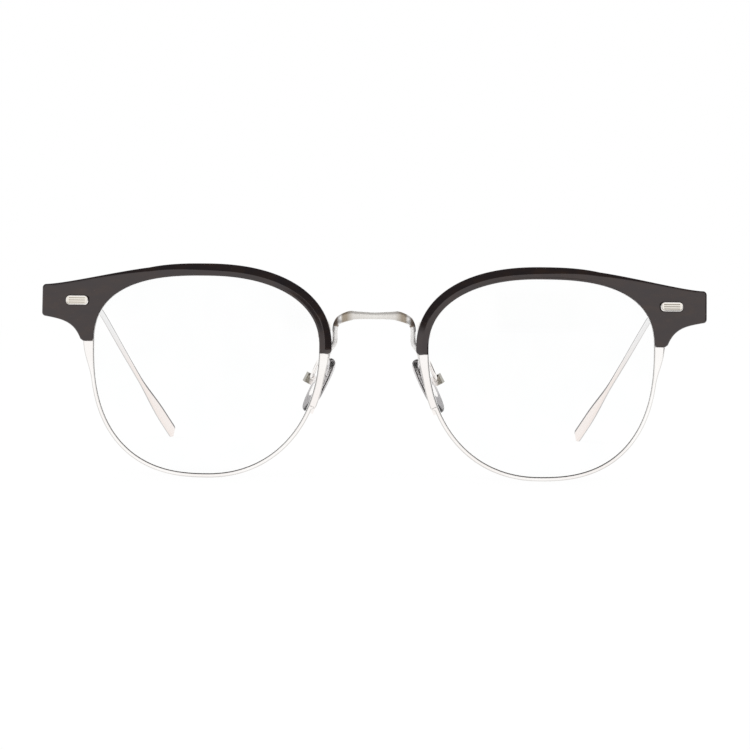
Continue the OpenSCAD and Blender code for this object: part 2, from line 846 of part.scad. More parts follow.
module core_plate(t, grow) {
    rotate([90, 0, 90]) linear_extrude(t) union() {
        square([core_w + 2 * grow, core_len - core_w], center = true);
        for (side = [-1, 1])
            translate([0, side * (core_len - core_w) / 2])
                circle(d = core_w + 2 * grow, $fn = 48);
    }
}

eye_w = 0.9;
eye_r = 0.55;
box_gap = 0.06;
box_wall = 0.45;
box_h = 2.1;
box_back = eye_r + 0.1;

// Plate in the pad's back, with the eye that the box takes
module pad_core() {
    color(metal) at_pad() difference() {
        translate([0, 0, pad_screw_z]) union() {
            translate([pad_t / 2 - core_t, 0, 0]) core_plate(core_t, 0);
            translate([pad_t / 2 - 0.1, -eye_w / 2, -0.4])
                cube([pad_screw_off - pad_t / 2 + 0.1, eye_w, 0.8]);
            translate([pad_screw_off, 0, 0]) rotate([90, 0, 0])
                cylinder(r = eye_r, h = eye_w, center = true, $fn = 48);
        }
        translate([pad_screw_off, 0, pad_screw_z]) rotate([90, 0, 0])
            cylinder(d = pad_screw_d + 2 * turn_fit - 0.02, h = 4, center = true, $fn = 48);
    }
}

// Channel that holds the eye, open towards the pad
module pad_box() {
    wide = eye_w / 2 + box_gap;
    color(metal) at_pad() translate([pad_screw_off, 0, pad_screw_z]) difference() {
        translate([-0.6, -wide - box_wall, -box_h / 2])
            cube([0.6 + box_back + box_wall, 2 * (wide + box_wall), box_h]);
        translate([-1, -wide, -box_h]) cube([1 + box_back, 2 * wide, 2 * box_h]);
        rotate([90, 0, 0])
            cylinder(d = pad_screw_d + 2 * thread_fit, h = 6, center = true, $fn = 48);
    }
}

pad_head_d = 1.2;
pad_head_h = 0.35;

// The screw enters from the rear
module pad_screw() {
    reach = eye_w / 2 + box_gap + box_wall;
    color(metal) at_pad() translate([pad_screw_off, 0, pad_screw_z]) rotate([-90, 0, 0])
        difference() {
            union() {
                translate([0, 0, -reach]) cylinder(d = pad_screw_d, h = 2 * reach + 0.1, $fn = 48);
                translate([0, 0, reach + seat]) cylinder(d = pad_head_d, h = pad_head_h, $fn = 48);
            }
            translate([0, 0, reach + seat + pad_head_h]) slot(pad_head_d, 0.2);
        }
}

// Directions of the pad's own axes, for the wire that comes to its box
pad_out = [cos(pad_lean) * cos(pad_splay), -sin(pad_splay), sin(pad_lean) * cos(pad_splay)];
pad_rear = [cos(pad_lean) * sin(pad_splay), cos(pad_splay), sin(pad_lean) * sin(pad_splay)];
pad_up = [-sin(pad_lean), 0, cos(pad_lean)];
arm_t = nasal_at(pad_z + 5.8);
arm_root = beyond(arm_t, wire_d / 2 - 0.05);

module pad_arm() {
    box_face = eye_w / 2 + box_gap + box_wall + seat;
    start = on_curve(arm_root, rim_depth / 2 + 0.08);
    end = [pad_x, pad_y, pad_z] + (pad_screw_off + 0.15) * pad_out - box_face * pad_rear
          + (pad_screw_z + 0.2) * pad_up;
    path = [start, start + [0.2, 4.6, 0.6], end + [-0.5, -3.6, 1.2], end];
    steps = 16;
    color(metal) skin([for (k = [0:steps]) let (u = k / steps)
        ring(bezier(path, u), u == 0 ? [0, 1, 0] : u == 1 ? pad_rear : slope(path, u),
             [1, 0, 0], oval(wire_d, wire_d, 10, 2))]);
}

// Bridge: a bar with dropped shoulders whose ends turn back and run down behind the brows

foot_depth = 1.1;
foot_seat = beyond(nasal_at(brow_foot_z - 1.7), rim_shoulder - foot_w / 2);
foot_back = brow_back + 0.3 + foot_depth / 2;

// Points of one half, as [x, y, z, width, depth]; width is across the path seen from the front
bridge_half = [
    [0, -0.45, bar_z, bar_h, bar_depth],
    [bar_shoulder_x * 0.45, -0.4, bar_z + 0.05, bar_h * 1.08, bar_depth],
    [bar_shoulder_x * 0.8, -0.3, bar_z + 0.06, (bar_h + bar_shoulder_h) / 2, bar_depth],
    [bar_shoulder_x, -0.1, bar_z, bar_shoulder_h, bar_depth],
    [bar_shoulder_x + 1.2, 0.3, bar_z - 0.35, bar_shoulder_h * 0.95, bar_depth * 0.95],
    [foot_x - 1.1, 1.0, bar_z - 0.85, bar_shoulder_h * 0.85, bar_depth * 0.85],
    [foot_x - 0.4, 1.95, bar_z - 1.6, foot_w * 1.15, foot_depth * 1.1],
    [foot_x - 0.05, 2.5, bar_z - 2.7, foot_w, foot_depth],
    [foot_x, base_y([foot_x, bar_z - 4.5]) + foot_back, bar_z - 4.5, foot_w, foot_depth],
    [foot_x + 0.15, base_y([foot_x, leg_z]) + foot_back, leg_z, foot_w, foot_depth],
    [foot_seat[0] - 0.6, base_y(foot_seat) + foot_back, brow_foot_z + 0.5, foot_w, foot_depth],
    [foot_seat[0], base_y(foot_seat) + rim_depth / 2 + 0.12 + foot_depth / 2, foot_seat[1], foot_w,
     foot_depth]
];

function point(q) = [q[0], q[1], q[2]];

// Smooth curve through the points of a list, at place v from 0 to its last index
function through(list, v) =
    let (n = len(list) - 1, i = min(floor(v), n - 1), u = v - i,
         a = list[max(i - 1, 0)], b = list[i], c = list[i + 1], d = list[min(i + 2, n)])
    0.5 * (2 * b + (c - a) * u + (2 * a - 5 * b + 4 * c - d) * u * u
           + (3 * b - a - 3 * c + d) * u * u * u);

function flip(q) = [-q[0], q[1], q[2], q[3], q[4]];

module bridge() {
    half = len(bridge_half) - 1;
    all = concat([for (k = [half:-1:1]) flip(bridge_half[k])], bridge_half);
    stations = 3 * (len(all) - 1);
    ahead = 0.02;
    color(metal) place() skin([for (k = [0:stations])
        let (v = k / 3, q = through(all, v), last = len(all) - 1,
             dir = unit(point(through(all, min(v + ahead, last)))
                        - point(through(all, max(v - ahead, 0)))))
        ring(point(q), dir, [0, -1, 0], oval(q[4], q[3], 10, 2.8))]);
}

// Everything in place

bridge();
left() rim();  // rim_left
right() rim();  // rim_right
left() lens();  // lens_left
right() lens();  // lens_right
left() rim_block();  // rim_block_left
right() rim_block();  // rim_block_right
union() {  // rim_block_screws
    left() rim_block_screw();
    right() rim_block_screw();
}
left() brow();  // brow_left
right() brow();  // brow_right
left() plaque();  // plaque_left
right() plaque();  // plaque_right
left() lug();  // lug_left
right() lug();  // lug_right
left() brow_tab();  // brow_tab_left
right() brow_tab();  // brow_tab_right
union() {  // brow_screws
    left() brow_screw_pair();
    right() brow_screw_pair();
}
left() hinge_front();  // hinge_front_left
right() hinge_front();  // hinge_front_right
left() hinge_screw();  // hinge_screw_left
right() hinge_screw();  // hinge_screw_right
left() hinge_rear();  // hinge_rear_left
right() hinge_rear();  // hinge_rear_right
left() temple();  // temple_left
right() temple();  // temple_right
left() pad_arm();  // pad_arm_left
right() pad_arm();  // pad_arm_right
left() pad_box();  // pad_box_left
right() pad_box();  // pad_box_right
union() {  // pad_screws
    left() pad_screw();
    right() pad_screw();
}
left() pad_core();  // pad_core_left
right() pad_core();  // pad_core_right
left() nose_pad();  // nose_pad_left
right() nose_pad();  // nose_pad_right
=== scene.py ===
import math

import bmesh
import bpy
import numpy as np
from mathutils import Matrix, Vector


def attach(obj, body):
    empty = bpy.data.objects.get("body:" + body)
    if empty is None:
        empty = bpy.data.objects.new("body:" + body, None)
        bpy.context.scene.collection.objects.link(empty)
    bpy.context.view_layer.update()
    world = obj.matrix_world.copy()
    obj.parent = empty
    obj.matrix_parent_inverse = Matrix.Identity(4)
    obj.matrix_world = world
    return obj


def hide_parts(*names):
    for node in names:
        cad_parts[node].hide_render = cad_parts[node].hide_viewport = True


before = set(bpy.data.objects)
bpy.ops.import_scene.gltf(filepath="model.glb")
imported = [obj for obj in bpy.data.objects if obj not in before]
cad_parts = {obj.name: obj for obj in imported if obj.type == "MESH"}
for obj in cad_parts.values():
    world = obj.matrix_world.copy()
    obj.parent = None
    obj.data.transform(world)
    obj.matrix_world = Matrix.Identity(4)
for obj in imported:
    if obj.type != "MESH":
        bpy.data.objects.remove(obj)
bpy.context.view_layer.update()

# Browline glasses. Sizes are in millimetres, as on the part, and meshes are written in metres.
# Left is the wearer's, at +X, and each left piece has a mirrored right one.
MM = 0.001

# Lens openings: gap over the nose, reach from the widest level, and squareness of each quarter
NOSE_GAP = 22.9
OPEN_NASAL, OPEN_TEMPORAL = 23.8, 23.9
OPEN_TOP, OPEN_BOTTOM = 14.7, 26.9
SQUARE_TOP_TEMPORAL, SQUARE_TOP_NASAL = 2.6, 2.26
SQUARE_LOW_NASAL, SQUARE_LOW_TEMPORAL = 2.16, 2.48
# Lenses: the hub and the flat are shares of the outline, where a face starts and where it ends
LENS_T, LENS_FIT = 1.9, 0.05
LENS_HUB, LENS_FLAT = 0.04, 0.997
LENS_CHAMFER, TONGUE_RISE = 0.06, 0.08

# Front curve
BASE_R = 132.0
APEX_X = 24.7

# Rims: a corner is drawn in over CORNER_DRAW times its rounding
RIM_FACE, RIM_DEPTH = 0.9, 2.0
RIM_NASAL, RIM_SHOULDER = 1.6, 2.05
SHOULDER_TAPER, SHOULDER_STEP = 5.5, 0.2
GROOVE_DEPTH, GROOVE_W, GROOVE_FLOOR = 0.55, 1.0, 0.76
RIM_BREAK, RIM_ROUND, CORNER_DRAW = 0.36, 0.28, 1.3
GROOVE_LIP, GROOVE_ROOT = 0.08, 0.04
LEG_SHOULDER, LEG_TAPER = 2.35, 8.0
SPLIT_Z, SPLIT_GAP = 15.6, 0.12
RIM_STEP = 1.25

# Brows
BROW_BAND, BROW_GAIN = 2.6, 0.06
FULL_T, FULL_REACH = 135.0, 45.0
BROW_FRONT, BROW_BACK = 2.3, 1.6
BEVEL_W, BEVEL_END_W, BEVEL_D = 1.4, 0.25, 0.9
BEVEL_FULL_X, BEVEL_END_X = 30.0, 60.0
BROW_BREAK, BROW_CAP_BREAK = 0.3, 0.22
BROW_END_X, BROW_END_TOP, BROW_END_LOW = 70.5, 40.4, 33.6
BROW_CORNER, FOOT_CORNER = 0.8, 0.8
LEG_Z, LEG_W, BROW_FOOT_Z = 28.5, 2.7, 26.5
LEG_CHAMFER, LEG_SLANT = 0.42, 0.4
FLARE_T, END_SPREAD = 67.0, 1.35
# How far the outer end's two long edges pull straight on from their ends, in x and z
LEG_PULL, LOW_PULL = [1.5, 3.7], [3.4, 0.6]
TOP_PULL, BAND_PULL = [4.9, -0.25], [7.4, -1.0]
# How far the corners of a brow's section are drawn in
BREAK_DRAW, FACE_DRAW, SIDE_DRAW = 0.17, 0.02, 0.18
CREST_DRAW, CREST_SHARE = 0.35, 0.45
REBATE_DRAWS = [0.05, 0.03, 0.1]
# Share of the full bevel at which its widening on a slanted section starts and is full
LEAN_FROM, LEAN_TO = 0.95, 0.35
# Least cosine between a section and the edge's normal
LEAST_COSINE = 0.5
# Points along a long edge and round a corner
EDGE_POINTS, ARC_POINTS = 49, 9

# Plaques: the bevel starts SIDE behind the face, whose middle is SUNK and holds three lines
PLAQUE_W, PLAQUE_H, PLAQUE_T, PLAQUE_INLAY = 5.1, 2.05, 0.75, 0.4
PLAQUE_X, PLAQUE_Z = 62.1, 36.78
PLAQUE_CORNER, PLAQUE_BEVEL, PLAQUE_PITCH, PLAQUE_GROOVE = 1.0, 0.2, 0.47, 0.17
PLAQUE_GAP, PLAQUE_SEAT = 0.16, 0.02
PLAQUE_SIDE, PLAQUE_BREAK, PLAQUE_SUNK, PLAQUE_SOFT = 0.15, 0.1, 0.05, 0.035
# Faces deeper into a groove than the last of these take painted shade.
LINE_END, LINE_DEPTH, LINE_SHADE_DEPTH = 0.75, 0.2, 0.08
# Where a cutter starts, ahead of the surface that it cuts
CUT_AHEAD = -1.0

# Bridge
BAR_H, BAR_SHOULDER_H, BAR_DEPTH, BAR_Z = 1.4, 2.0, 1.7, 34.5
BAR_SHOULDER_X = 4.9
BAR_POINTS, BAR_SQUARE, BAR_END_BREAK = 40, 2.6, 0.15
FOOT_X, FOOT_W, FOOT_DEPTH = 8.25, 1.15, 1.1
FOOT_GAP, FOOT_DROP, SOLDER = 0.3, 1.7, 0.12

# Temples
HINGE_X, HINGE_Z = 65.0, 37.0
BARREL_R, LEAF_IN = 1.1, 0.3
LUG_T, LUG_H = 1.1, 3.0
LUG_GAP, LUG_BEND, LUG_ARM = 0.48, 1.4, 3.2
BLADE_T, BLADE_H = 1.0, 1.3
BEND_Y, BEND_DROP = 77.0, 3.0
TIP_Y, TIP_X, TIP_END, TIP_LEAD = 137.0, 53.4, 1.2, 1.6
TIP_AIM = [-0.2, 0.8, -0.43]
TIP_TURN, TIP_BULGE, TIP_FULLNESS, TIP_THIN = 82, 1.15, 0.28, 0.4
PADDLE_H, PADDLE_T = 4.0, 1.0
PADDLE_FROM, PADDLE_TO = 0.72, 0.93
EAR_NEAR, EAR_FAR = 12.0, 42.0
BLADE_CORNER, PADDLE_CORNER_MORE, TIP_CORNER = 0.3, 0.15, 0.45
# Width of the strip below the upper inner corner, which takes a painted dark reflection, and its
# place among a section's points
EDGE_STRIP = 0.4
BLADE_STRIP = EDGE_STRIP / 3
STRIP_AT = 10
# Shares of the way from the bend to the tip over which corners, strips and slant come in
CORNER_SPAN, STRIP_SPAN, LEAD_SPAN = (0.4, 0.7), (0.6, 0.8), (0.75, 1)
BLADE_END_BREAK = 0.1

# Nose pads
PAD_LEN, PAD_W, PAD_T = 12.6, 7.0, 1.9
PAD_X, PAD_Y, PAD_Z = 11.5, 8.2, 19.5
PAD_LEAN, PAD_SPLAY = 27.5, 15.0
PAD_POINTS, PAD_SQUARE = 72, 2.25
WIRE_D, WIRE_POINTS = 0.85, 20
# Root of the wire above the pad's middle, and how it pulls away from the eyewire and the box
WIRE_RISE, WIRE_SUNK, WIRE_BEHIND = 5.8, 0.05, 0.08
WIRE_OUT, WIRE_IN = [0.2, 4.6, 0.6], [-0.5, -3.6, 1.2]
WIRE_END_X, WIRE_END_GAP, WIRE_END_Z = 0.15, 0.02, 0.2
PAD_SCREW_OFF, PAD_SCREW_Z = 2.5, 0.3
EYE_W, BOX_GAP, BOX_WALL = 0.9, 0.06, 0.45

LENS_X = NOSE_GAP / 2 + OPEN_NASAL
LENS_Z = RIM_FACE + OPEN_BOTTOM
APEX_Z = RIM_FACE + (OPEN_TOP + OPEN_BOTTOM) / 2


# Outline of a lens opening

def quarter(t):
    """Reach aside, reach up or down, and squareness of the opening at angles t."""
    t = np.asarray(t, float) % 360
    upper = t < 180
    temporal = (t < 90) | (t >= 270)
    a = np.where(temporal, OPEN_TEMPORAL, OPEN_NASAL)
    b = np.where(upper, OPEN_TOP, OPEN_BOTTOM)
    high = np.where(temporal, SQUARE_TOP_TEMPORAL, SQUARE_TOP_NASAL)
    low = np.where(temporal, SQUARE_LOW_TEMPORAL, SQUARE_LOW_NASAL)
    return a, b, np.where(upper, high, low)


def edge(t):
    """Points [x, z] of the opening at angles t, in degrees from its temporal side."""
    a, b, e = quarter(t)
    c, s = np.cos(np.radians(t)), np.sin(np.radians(t))
    x = LENS_X + np.sign(c) * a * np.abs(c) ** (2 / e)
    z = LENS_Z + np.sign(s) * b * np.abs(s) ** (2 / e)
    return np.stack([x, z], -1)


def outward(t):
    """Directions square to the opening's edge, pointing away from the lens."""
    a, b, e = quarter(t)
    c, s = np.cos(np.radians(t)), np.sin(np.radians(t))
    g = np.stack([np.sign(c) * np.abs(c) ** (2 - 2 / e) / a,
                  np.sign(s) * np.abs(s) ** (2 - 2 / e) / b], -1)
    return g / np.linalg.norm(g, axis=-1, keepdims=True)


def beyond(t, r):
    """Points that lie r outside the opening's edge."""
    return edge(t) + np.asarray(r)[..., None] * outward(t)


def temporal_at(z):
    """Angle of the point at height z on the upper temporal side."""
    return math.degrees(math.asin(((z - LENS_Z) / OPEN_TOP) ** (SQUARE_TOP_TEMPORAL / 2)))


def nasal_at(z):
    """Angle of the point at height z on the lower nasal side."""
    return 180 + math.degrees(math.asin(((LENS_Z - z) / OPEN_BOTTOM) ** (SQUARE_LOW_NASAL / 2)))


def base_y(x, z):
    """How far back the front curve lies at x and z."""
    return BASE_R - np.sqrt(BASE_R ** 2 - (x - APEX_X) ** 2 - (z - APEX_Z) ** 2)


# The hinge axis lies behind the lug's gap, strip, bend and arm, and the origin under the middle
ARM_X = HINGE_X + BARREL_R + LEAF_IN
HINGE_Y = (float(base_y(ARM_X - LUG_BEND, HINGE_Z)) + BROW_BACK + LUG_GAP + LUG_T + LUG_BEND
           + LUG_ARM)
MIDDLE_Y = (HINGE_Y + TIP_Y + TIP_END - BROW_FRONT / 2) / 2


def on_curve(points, depth):
    """Points [x, z] of the front, set depth behind its curved surface, as [x, y, z]."""
    x, z = points[..., 0], points[..., 1]
    return np.stack([x, base_y(x, z) + depth - MIDDLE_Y, z], -1)


LEG_T = temporal_at(LEG_Z)
FOOT_T = nasal_at(BROW_FOOT_Z)
SPLIT_T = nasal_at(SPLIT_Z)


# Small helpers

def ramp(v, start, end):
    """Smooth step from 0 at start to 1 at end."""
    u = np.clip((np.asarray(v, float) - start) / (end - start), 0, 1)
    return u * u * (3 - 2 * u)


def unit(v):
    v = np.asarray(v, float)
    return v / np.linalg.norm(v, axis=-1, keepdims=True)


def bezier(p, u):
    """Points at shares u of the cubic curve with the four control points p."""
    u = np.asarray(u, float)[..., None]
    a, b, c, d = (np.asarray(q, float) for q in p)
    return (1 - u) ** 3 * a + 3 * u * (1 - u) ** 2 * b + 3 * u * u * (1 - u) * c + u ** 3 * d


def slope(p, u):
    """Directions of that curve at shares u."""
    u = np.asarray(u, float)[..., None]
    a, b, c, d = (np.asarray(q, float) for q in p)
    return unit((1 - u) ** 2 * (b - a) + 2 * u * (1 - u) * (c - b) + u * u * (d - c))


def through(points, steps):
    """Smooth curve through the rows of a list, with steps points from each row to the next."""
    p = np.asarray(points, float)
    n = len(p) - 1
    v = np.linspace(0, n, n * steps + 1)
    i = np.minimum(v.astype(int), n - 1)
    u = (v - i)[:, None]
    a, b, c, d = p[np.maximum(i - 1, 0)], p[i], p[i + 1], p[np.minimum(i + 2, n)]
    return 0.5 * (2 * b + (c - a) * u + (2 * a - 5 * b + 4 * c - d) * u * u
                  + (3 * b - a - 3 * c + d) * u ** 3)


def rounded(corners, radii, steps=4):
    """A closed outline whose corners are drawn in over the given lengths."""
    p = np.asarray(corners, float)
    out = []
    for i, (here, r) in enumerate(zip(p, radii)):
        before, after = p[i - 1] - here, p[(i + 1) % len(p)] - here
        one = here + before * min(r / np.linalg.norm(before), 0.48)
        two = here + after * min(r / np.linalg.norm(after), 0.48)
        for u in np.linspace(0, 1, steps + 1):
            out.append((1 - u) ** 2 * one + 2 * u * (1 - u) * here + u * u * two)
    return np.array(out)


def box_outline(w, h, r, steps=4):
    """Rectangle w by h with corners rounded by r."""
    corners = [(w / 2, h / 2), (-w / 2, h / 2), (-w / 2, -h / 2), (w / 2, -h / 2)]
    return rounded(corners, [r] * 4, steps)


def oval(w, h, n, e=2.0):
    """Oval w by h of n points, squarer with a higher e."""
    a = 2 * np.pi * (np.arange(n) + 0.5) / n
    c, s = np.cos(a), np.sin(a)
    return np.stack([w / 2 * np.sign(c) * np.abs(c) ** (2 / e),
                     h / 2 * np.sign(s) * np.abs(s) ** (2 / e)], -1)


def ring(p, direction, across, profile):
    """A profile laid square to direction at point p, its first axis nearest to across."""
    direction = unit(direction)
    across = np.asarray(across, float)
    a = unit(across - direction * (across @ direction))
    b = np.cross(direction, a)
    return np.asarray(p) + profile[:, :1] * a + profile[:, 1:] * b


def to_row(points):
    """Points drawn from the front curve's foremost point, moved to the part's own origin."""
    return np.asarray(points, float) - [0, MIDDLE_Y, 0]


# Meshes

def loft(rings, closed=False):
    """Points and faces of a skin over equal rings."""
    rings = np.asarray(rings, float)
    m, n = rings.shape[:2]
    faces = []
    for i in range(m if closed else m - 1):
        a, b = i * n, (i + 1) % m * n
        faces += [(a + j, a + (j + 1) % n, b + (j + 1) % n, b + j) for j in range(n)]
    if not closed:
        faces += [tuple(range(n))[::-1], tuple(range((m - 1) * n, m * n))]
    return rings.reshape(-1, 3), faces


def mesh_object(name, points, faces, mirrored=False, cap_bevel=0.0, cap_size=0, edges=()):
    """A mesh in metres. Edges of its faces with cap_size corners are rounded by cap_bevel.

    Each group of strips in edges, out of cap_size strips round a loft, takes a further material.
    """
    points = np.array(points, float) * MM
    if mirrored:
        points[:, 0] *= -1
    mesh = bpy.data.meshes.new(name)
    mesh.from_pydata(points.tolist(), [], faces)
    bm = bmesh.new()
    bm.from_mesh(mesh)
    bmesh.ops.recalc_face_normals(bm, faces=bm.faces)
    for k, group in enumerate(edges):
        for face in bm.faces:
            if len(face.verts) == 4 and face.index % cap_size in group:
                face.material_index = k + 1
    if cap_bevel:
        caps = {e for f in bm.faces if len(f.verts) == cap_size for e in f.edges}
        bmesh.ops.bevel(bm, geom=sorted(caps, key=lambda e: e.index), offset=cap_bevel * MM,
                        segments=3, profile=0.5, affect="EDGES", clamp_overlap=True)
    bm.to_mesh(mesh)
    bm.free()
    thing = bpy.data.objects.new(name, mesh)
    bpy.context.scene.collection.objects.link(thing)
    return thing


def smooth(thing, sharp=40, weighted=True):
    """Shades a piece smooth, except over edges sharper than the angle."""
    mesh = thing.data
    mesh.polygons.foreach_set("use_smooth", [True] * len(mesh.polygons))
    mesh.set_sharp_from_angle(angle=math.radians(sharp))
    if weighted:
        modifier = thing.modifiers.new("even_shading", "WEIGHTED_NORMAL")
        modifier.keep_sharp = True


def apply_modifiers(thing):
    """Turns what the modifiers show into the piece's own mesh."""
    graph = bpy.context.evaluated_depsgraph_get()
    mesh = bpy.data.meshes.new_from_object(thing.evaluated_get(graph))
    thing.modifiers.clear()
    thing.data = mesh


def cut(thing, cutter):
    """Takes the cutter's shape out of the thing and deletes the cutter."""
    modifier = thing.modifiers.new("cut", "BOOLEAN")
    modifier.operation = "DIFFERENCE"
    modifier.solver = "EXACT"
    modifier.object = cutter
    apply_modifiers(thing)
    bpy.data.objects.remove(cutter)


def dress(thing, materials, slot, body, *nodes):
    """Gives a new piece its materials and its body, and hides the nodes that it stands for."""
    while len(thing.data.materials) > 0:
        thing.data.materials.pop()
    for material in materials if isinstance(materials, tuple) else (materials,):
        thing.data.materials.append(material)
    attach(thing, body)
    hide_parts(*nodes)
    return thing


def sides():
    """Names of the two sides, and whether the piece there is mirrored."""
    return (("left", False), ("right", True))


# Camera: in front of the nose, level with the top of the lenses

LOOK_AT = Vector((0.3, -76.0, 22.08)) * MM
CAMERA_AT = Vector((1.9, -676.0, 43.0)) * MM
CAMERA_ROLL = 0.65
FOCAL, SENSOR = 137.3, 36.0


def make_camera():
    data = bpy.data.cameras.new("camera")
    data.lens = FOCAL
    data.sensor_width = SENSOR
    data.clip_start = 0.01
    camera = bpy.data.objects.new("camera", data)
    bpy.context.scene.collection.objects.link(camera)
    aim = (LOOK_AT - CAMERA_AT).to_track_quat("-Z", "Y").to_matrix().to_4x4()
    roll = Matrix.Rotation(math.radians(CAMERA_ROLL), 4, "Z")
    camera.matrix_world = Matrix.Translation(CAMERA_AT) @ aim @ roll
    bpy.context.scene.camera = camera


# Materials. Scales are in waves a metre and places in metres.

TONE_SCALE, MARK_SCALE, MARK_DEPTH, MARK_STRENGTH = 90, 9000, 0.000004, 0.35
POLISHED, SATIN = (0.16, 0.26), (0.2, 0.3)
SMOKE_DENSITY = 60.0
# Height below which the bridge's feet take the painted pale highlight, and how far along the colour
# ramp that moves them
BRIDGE_FOOT_Z, BRIDGE_FOOT_SHIFT = (0.0312, 0.0326), 0.5
# Where the temples' grey blade turns to the warmer paddle, a painted reflection, and that turn's
# share of their colour
PADDLE_Y, PADDLE_SHARE = (0.025, 0.055), 0.85
# Heights over which the pads' painted shade gives way to their pale colour, and the shade's share of
# it
PAD_FADE_Z, PAD_FADE_SHARE = (0.016, 0.0225), 0.8


def new_material(name):
    material = bpy.data.materials.new(name)
    material.use_nodes = True
    tree = material.node_tree
    return material, tree, tree.nodes["Principled BSDF"]


def add_node(tree, kind, **inputs):
    node = tree.nodes.new(kind)
    for key, value in inputs.items():
        node.inputs[key.replace("_", " ")].default_value = value
    return node


def noise(tree, scale, stretch=(1, 1, 1), detail=3.0, rough=0.5):
    """Noise over the part's own space, scale in waves a metre, stretched along its axes."""
    place = tree.nodes.new("ShaderNodeTexCoord")
    mapping = add_node(tree, "ShaderNodeMapping", Scale=stretch)
    texture = add_node(tree, "ShaderNodeTexNoise", Scale=scale, Detail=detail, Roughness=rough)
    tree.links.new(place.outputs["Object"], mapping.inputs["Vector"])
    tree.links.new(mapping.outputs["Vector"], texture.inputs["Vector"])
    return texture.outputs["Fac"]


def colours(tree, source, stops):
    """Colours by the value of source, as (place, colour) stops."""
    node = tree.nodes.new("ShaderNodeValToRGB")
    elements = node.color_ramp.elements
    for k, (place, colour) in enumerate(stops):
        element = elements[k] if k < 2 else elements.new(place)
        element.position = place
        element.color = (*colour, 1)
    tree.links.new(source, node.inputs["Fac"])
    return node.outputs["Color"]


def levels(tree, source, low, high):
    """A noise's usual spread, drawn out to values from low to high."""
    node = add_node(tree, "ShaderNodeMapRange", To_Min=low, To_Max=high)
    node.inputs["From Min"].default_value = 0.3
    node.inputs["From Max"].default_value = 0.7
    tree.links.new(source, node.inputs["Value"])
    return node.outputs["Result"]


def math_node(tree, operation, one, two):
    """Result of an operation on two inputs, each a number or another node's output."""
    node = tree.nodes.new("ShaderNodeMath")
    node.operation = operation
    for socket, value in zip(node.inputs, (one, two)):
        if isinstance(value, (int, float)):
            socket.default_value = value
        else:
            tree.links.new(value, socket)
    return node.outputs[0]


def step_between(tree, value, start, end, low, high):
    """Smooth step from low to high as the value goes from start to end."""
    node = tree.nodes.new("ShaderNodeMapRange")
    node.interpolation_type = "SMOOTHSTEP"
    for key, number in (("From Min", start), ("From Max", end), ("To Min", low), ("To Max", high)):
        node.inputs[key].default_value = number
    tree.links.new(value, node.inputs["Value"])
    return node.outputs["Result"]


def bump(tree, source, distance, strength):
    node = add_node(tree, "ShaderNodeBump", Distance=distance, Strength=strength)
    tree.links.new(source, node.inputs["Height"])
    return node.outputs["Normal"]


def finishing_marks(tree, shader, rough, stretch=(1, 1, 1)):
    """Fine marks of polishing, in the surface's roughness and its relief."""
    marks = noise(tree, MARK_SCALE, stretch, detail=4)
    tree.links.new(levels(tree, marks, *rough), shader.inputs["Roughness"])
    tree.links.new(bump(tree, marks, MARK_DEPTH, MARK_STRENGTH), shader.inputs["Normal"])


def metal(name, dark, pale, rough=POLISHED, stretch=(1, 1, 1)):
    """Polished metal with fine finishing marks and a slight change of tone."""
    material, tree, shader = new_material(name)
    tone = noise(tree, TONE_SCALE, detail=2)
    tree.links.new(colours(tree, tone, [(0.35, dark), (0.65, pale)]), shader.inputs["Base Color"])
    finishing_marks(tree, shader, rough, stretch)
    shader.inputs["Metallic"].default_value = 1.0
    return material


def own_place(tree):
    """The part's own X, Y and Z, in metres."""
    place = tree.nodes.new("ShaderNodeTexCoord")
    parts = tree.nodes.new("ShaderNodeSeparateXYZ")
    tree.links.new(place.outputs["Object"], parts.inputs[0])
    return parts.outputs


def centimetres_aside(tree):
    """Distance to either side of the part's middle, 1 at 10 mm."""
    return math_node(tree, "MULTIPLY", math_node(tree, "ABSOLUTE", own_place(tree)["X"], 0.0), 100.0)


def bridge_shaded_metal():
    """Satin metal with painted light: darker toward the bends, painted brown shade at the bar's
    shoulders and hooks, and painted pale highlights down its feet.
    """
    material, tree, shader = new_material("bridge_shaded_metal")
    foot = step_between(tree, own_place(tree)["Z"], *BRIDGE_FOOT_Z, BRIDGE_FOOT_SHIFT, 0.0)
    along = math_node(tree, "ADD", centimetres_aside(tree), foot)
    # Painted shade in the darker bend and brown stops, and painted highlights in the pale ones.
    middle, bend = (0.86, 0.84, 0.80), (0.78, 0.75, 0.71)
    pale, brown, hook_shade = (0.97, 0.95, 0.93), (0.38, 0.32, 0.25), (0.28, 0.22, 0.18)
    stops = [(0.0, middle), (0.44, bend), (0.58, brown), (0.66, brown), (0.71, pale),
             (0.745, pale), (0.785, hook_shade), (0.87, hook_shade), (0.95, pale)]
    tree.links.new(colours(tree, along, stops), shader.inputs["Base Color"])
    finishing_marks(tree, shader, SATIN, (0.2, 1, 1))
    shader.inputs["Metallic"].default_value = 0.45
    return material


def temple_metal():
    """Polished metal with a painted reflection: grey along the blade and warmer at the paddle, with
    fine marks.
    """
    material, tree, shader = new_material("temple_metal")
    along = step_between(tree, own_place(tree)["Y"], *PADDLE_Y, 0.0, PADDLE_SHARE)
    tone = math_node(tree, "MULTIPLY", noise(tree, TONE_SCALE, detail=2), 1 - PADDLE_SHARE)
    # The grey blade and the warmer paddle are a painted reflection.
    blade, paddle = (0.86, 0.86, 0.86), (0.92, 0.84, 0.80)
    source = math_node(tree, "ADD", along, tone)
    tree.links.new(colours(tree, source, [(0.05, blade), (0.9, paddle)]),
                   shader.inputs["Base Color"])
    finishing_marks(tree, shader, POLISHED, (4, 0.1, 4))
    shader.inputs["Metallic"].default_value = 1.0
    return material


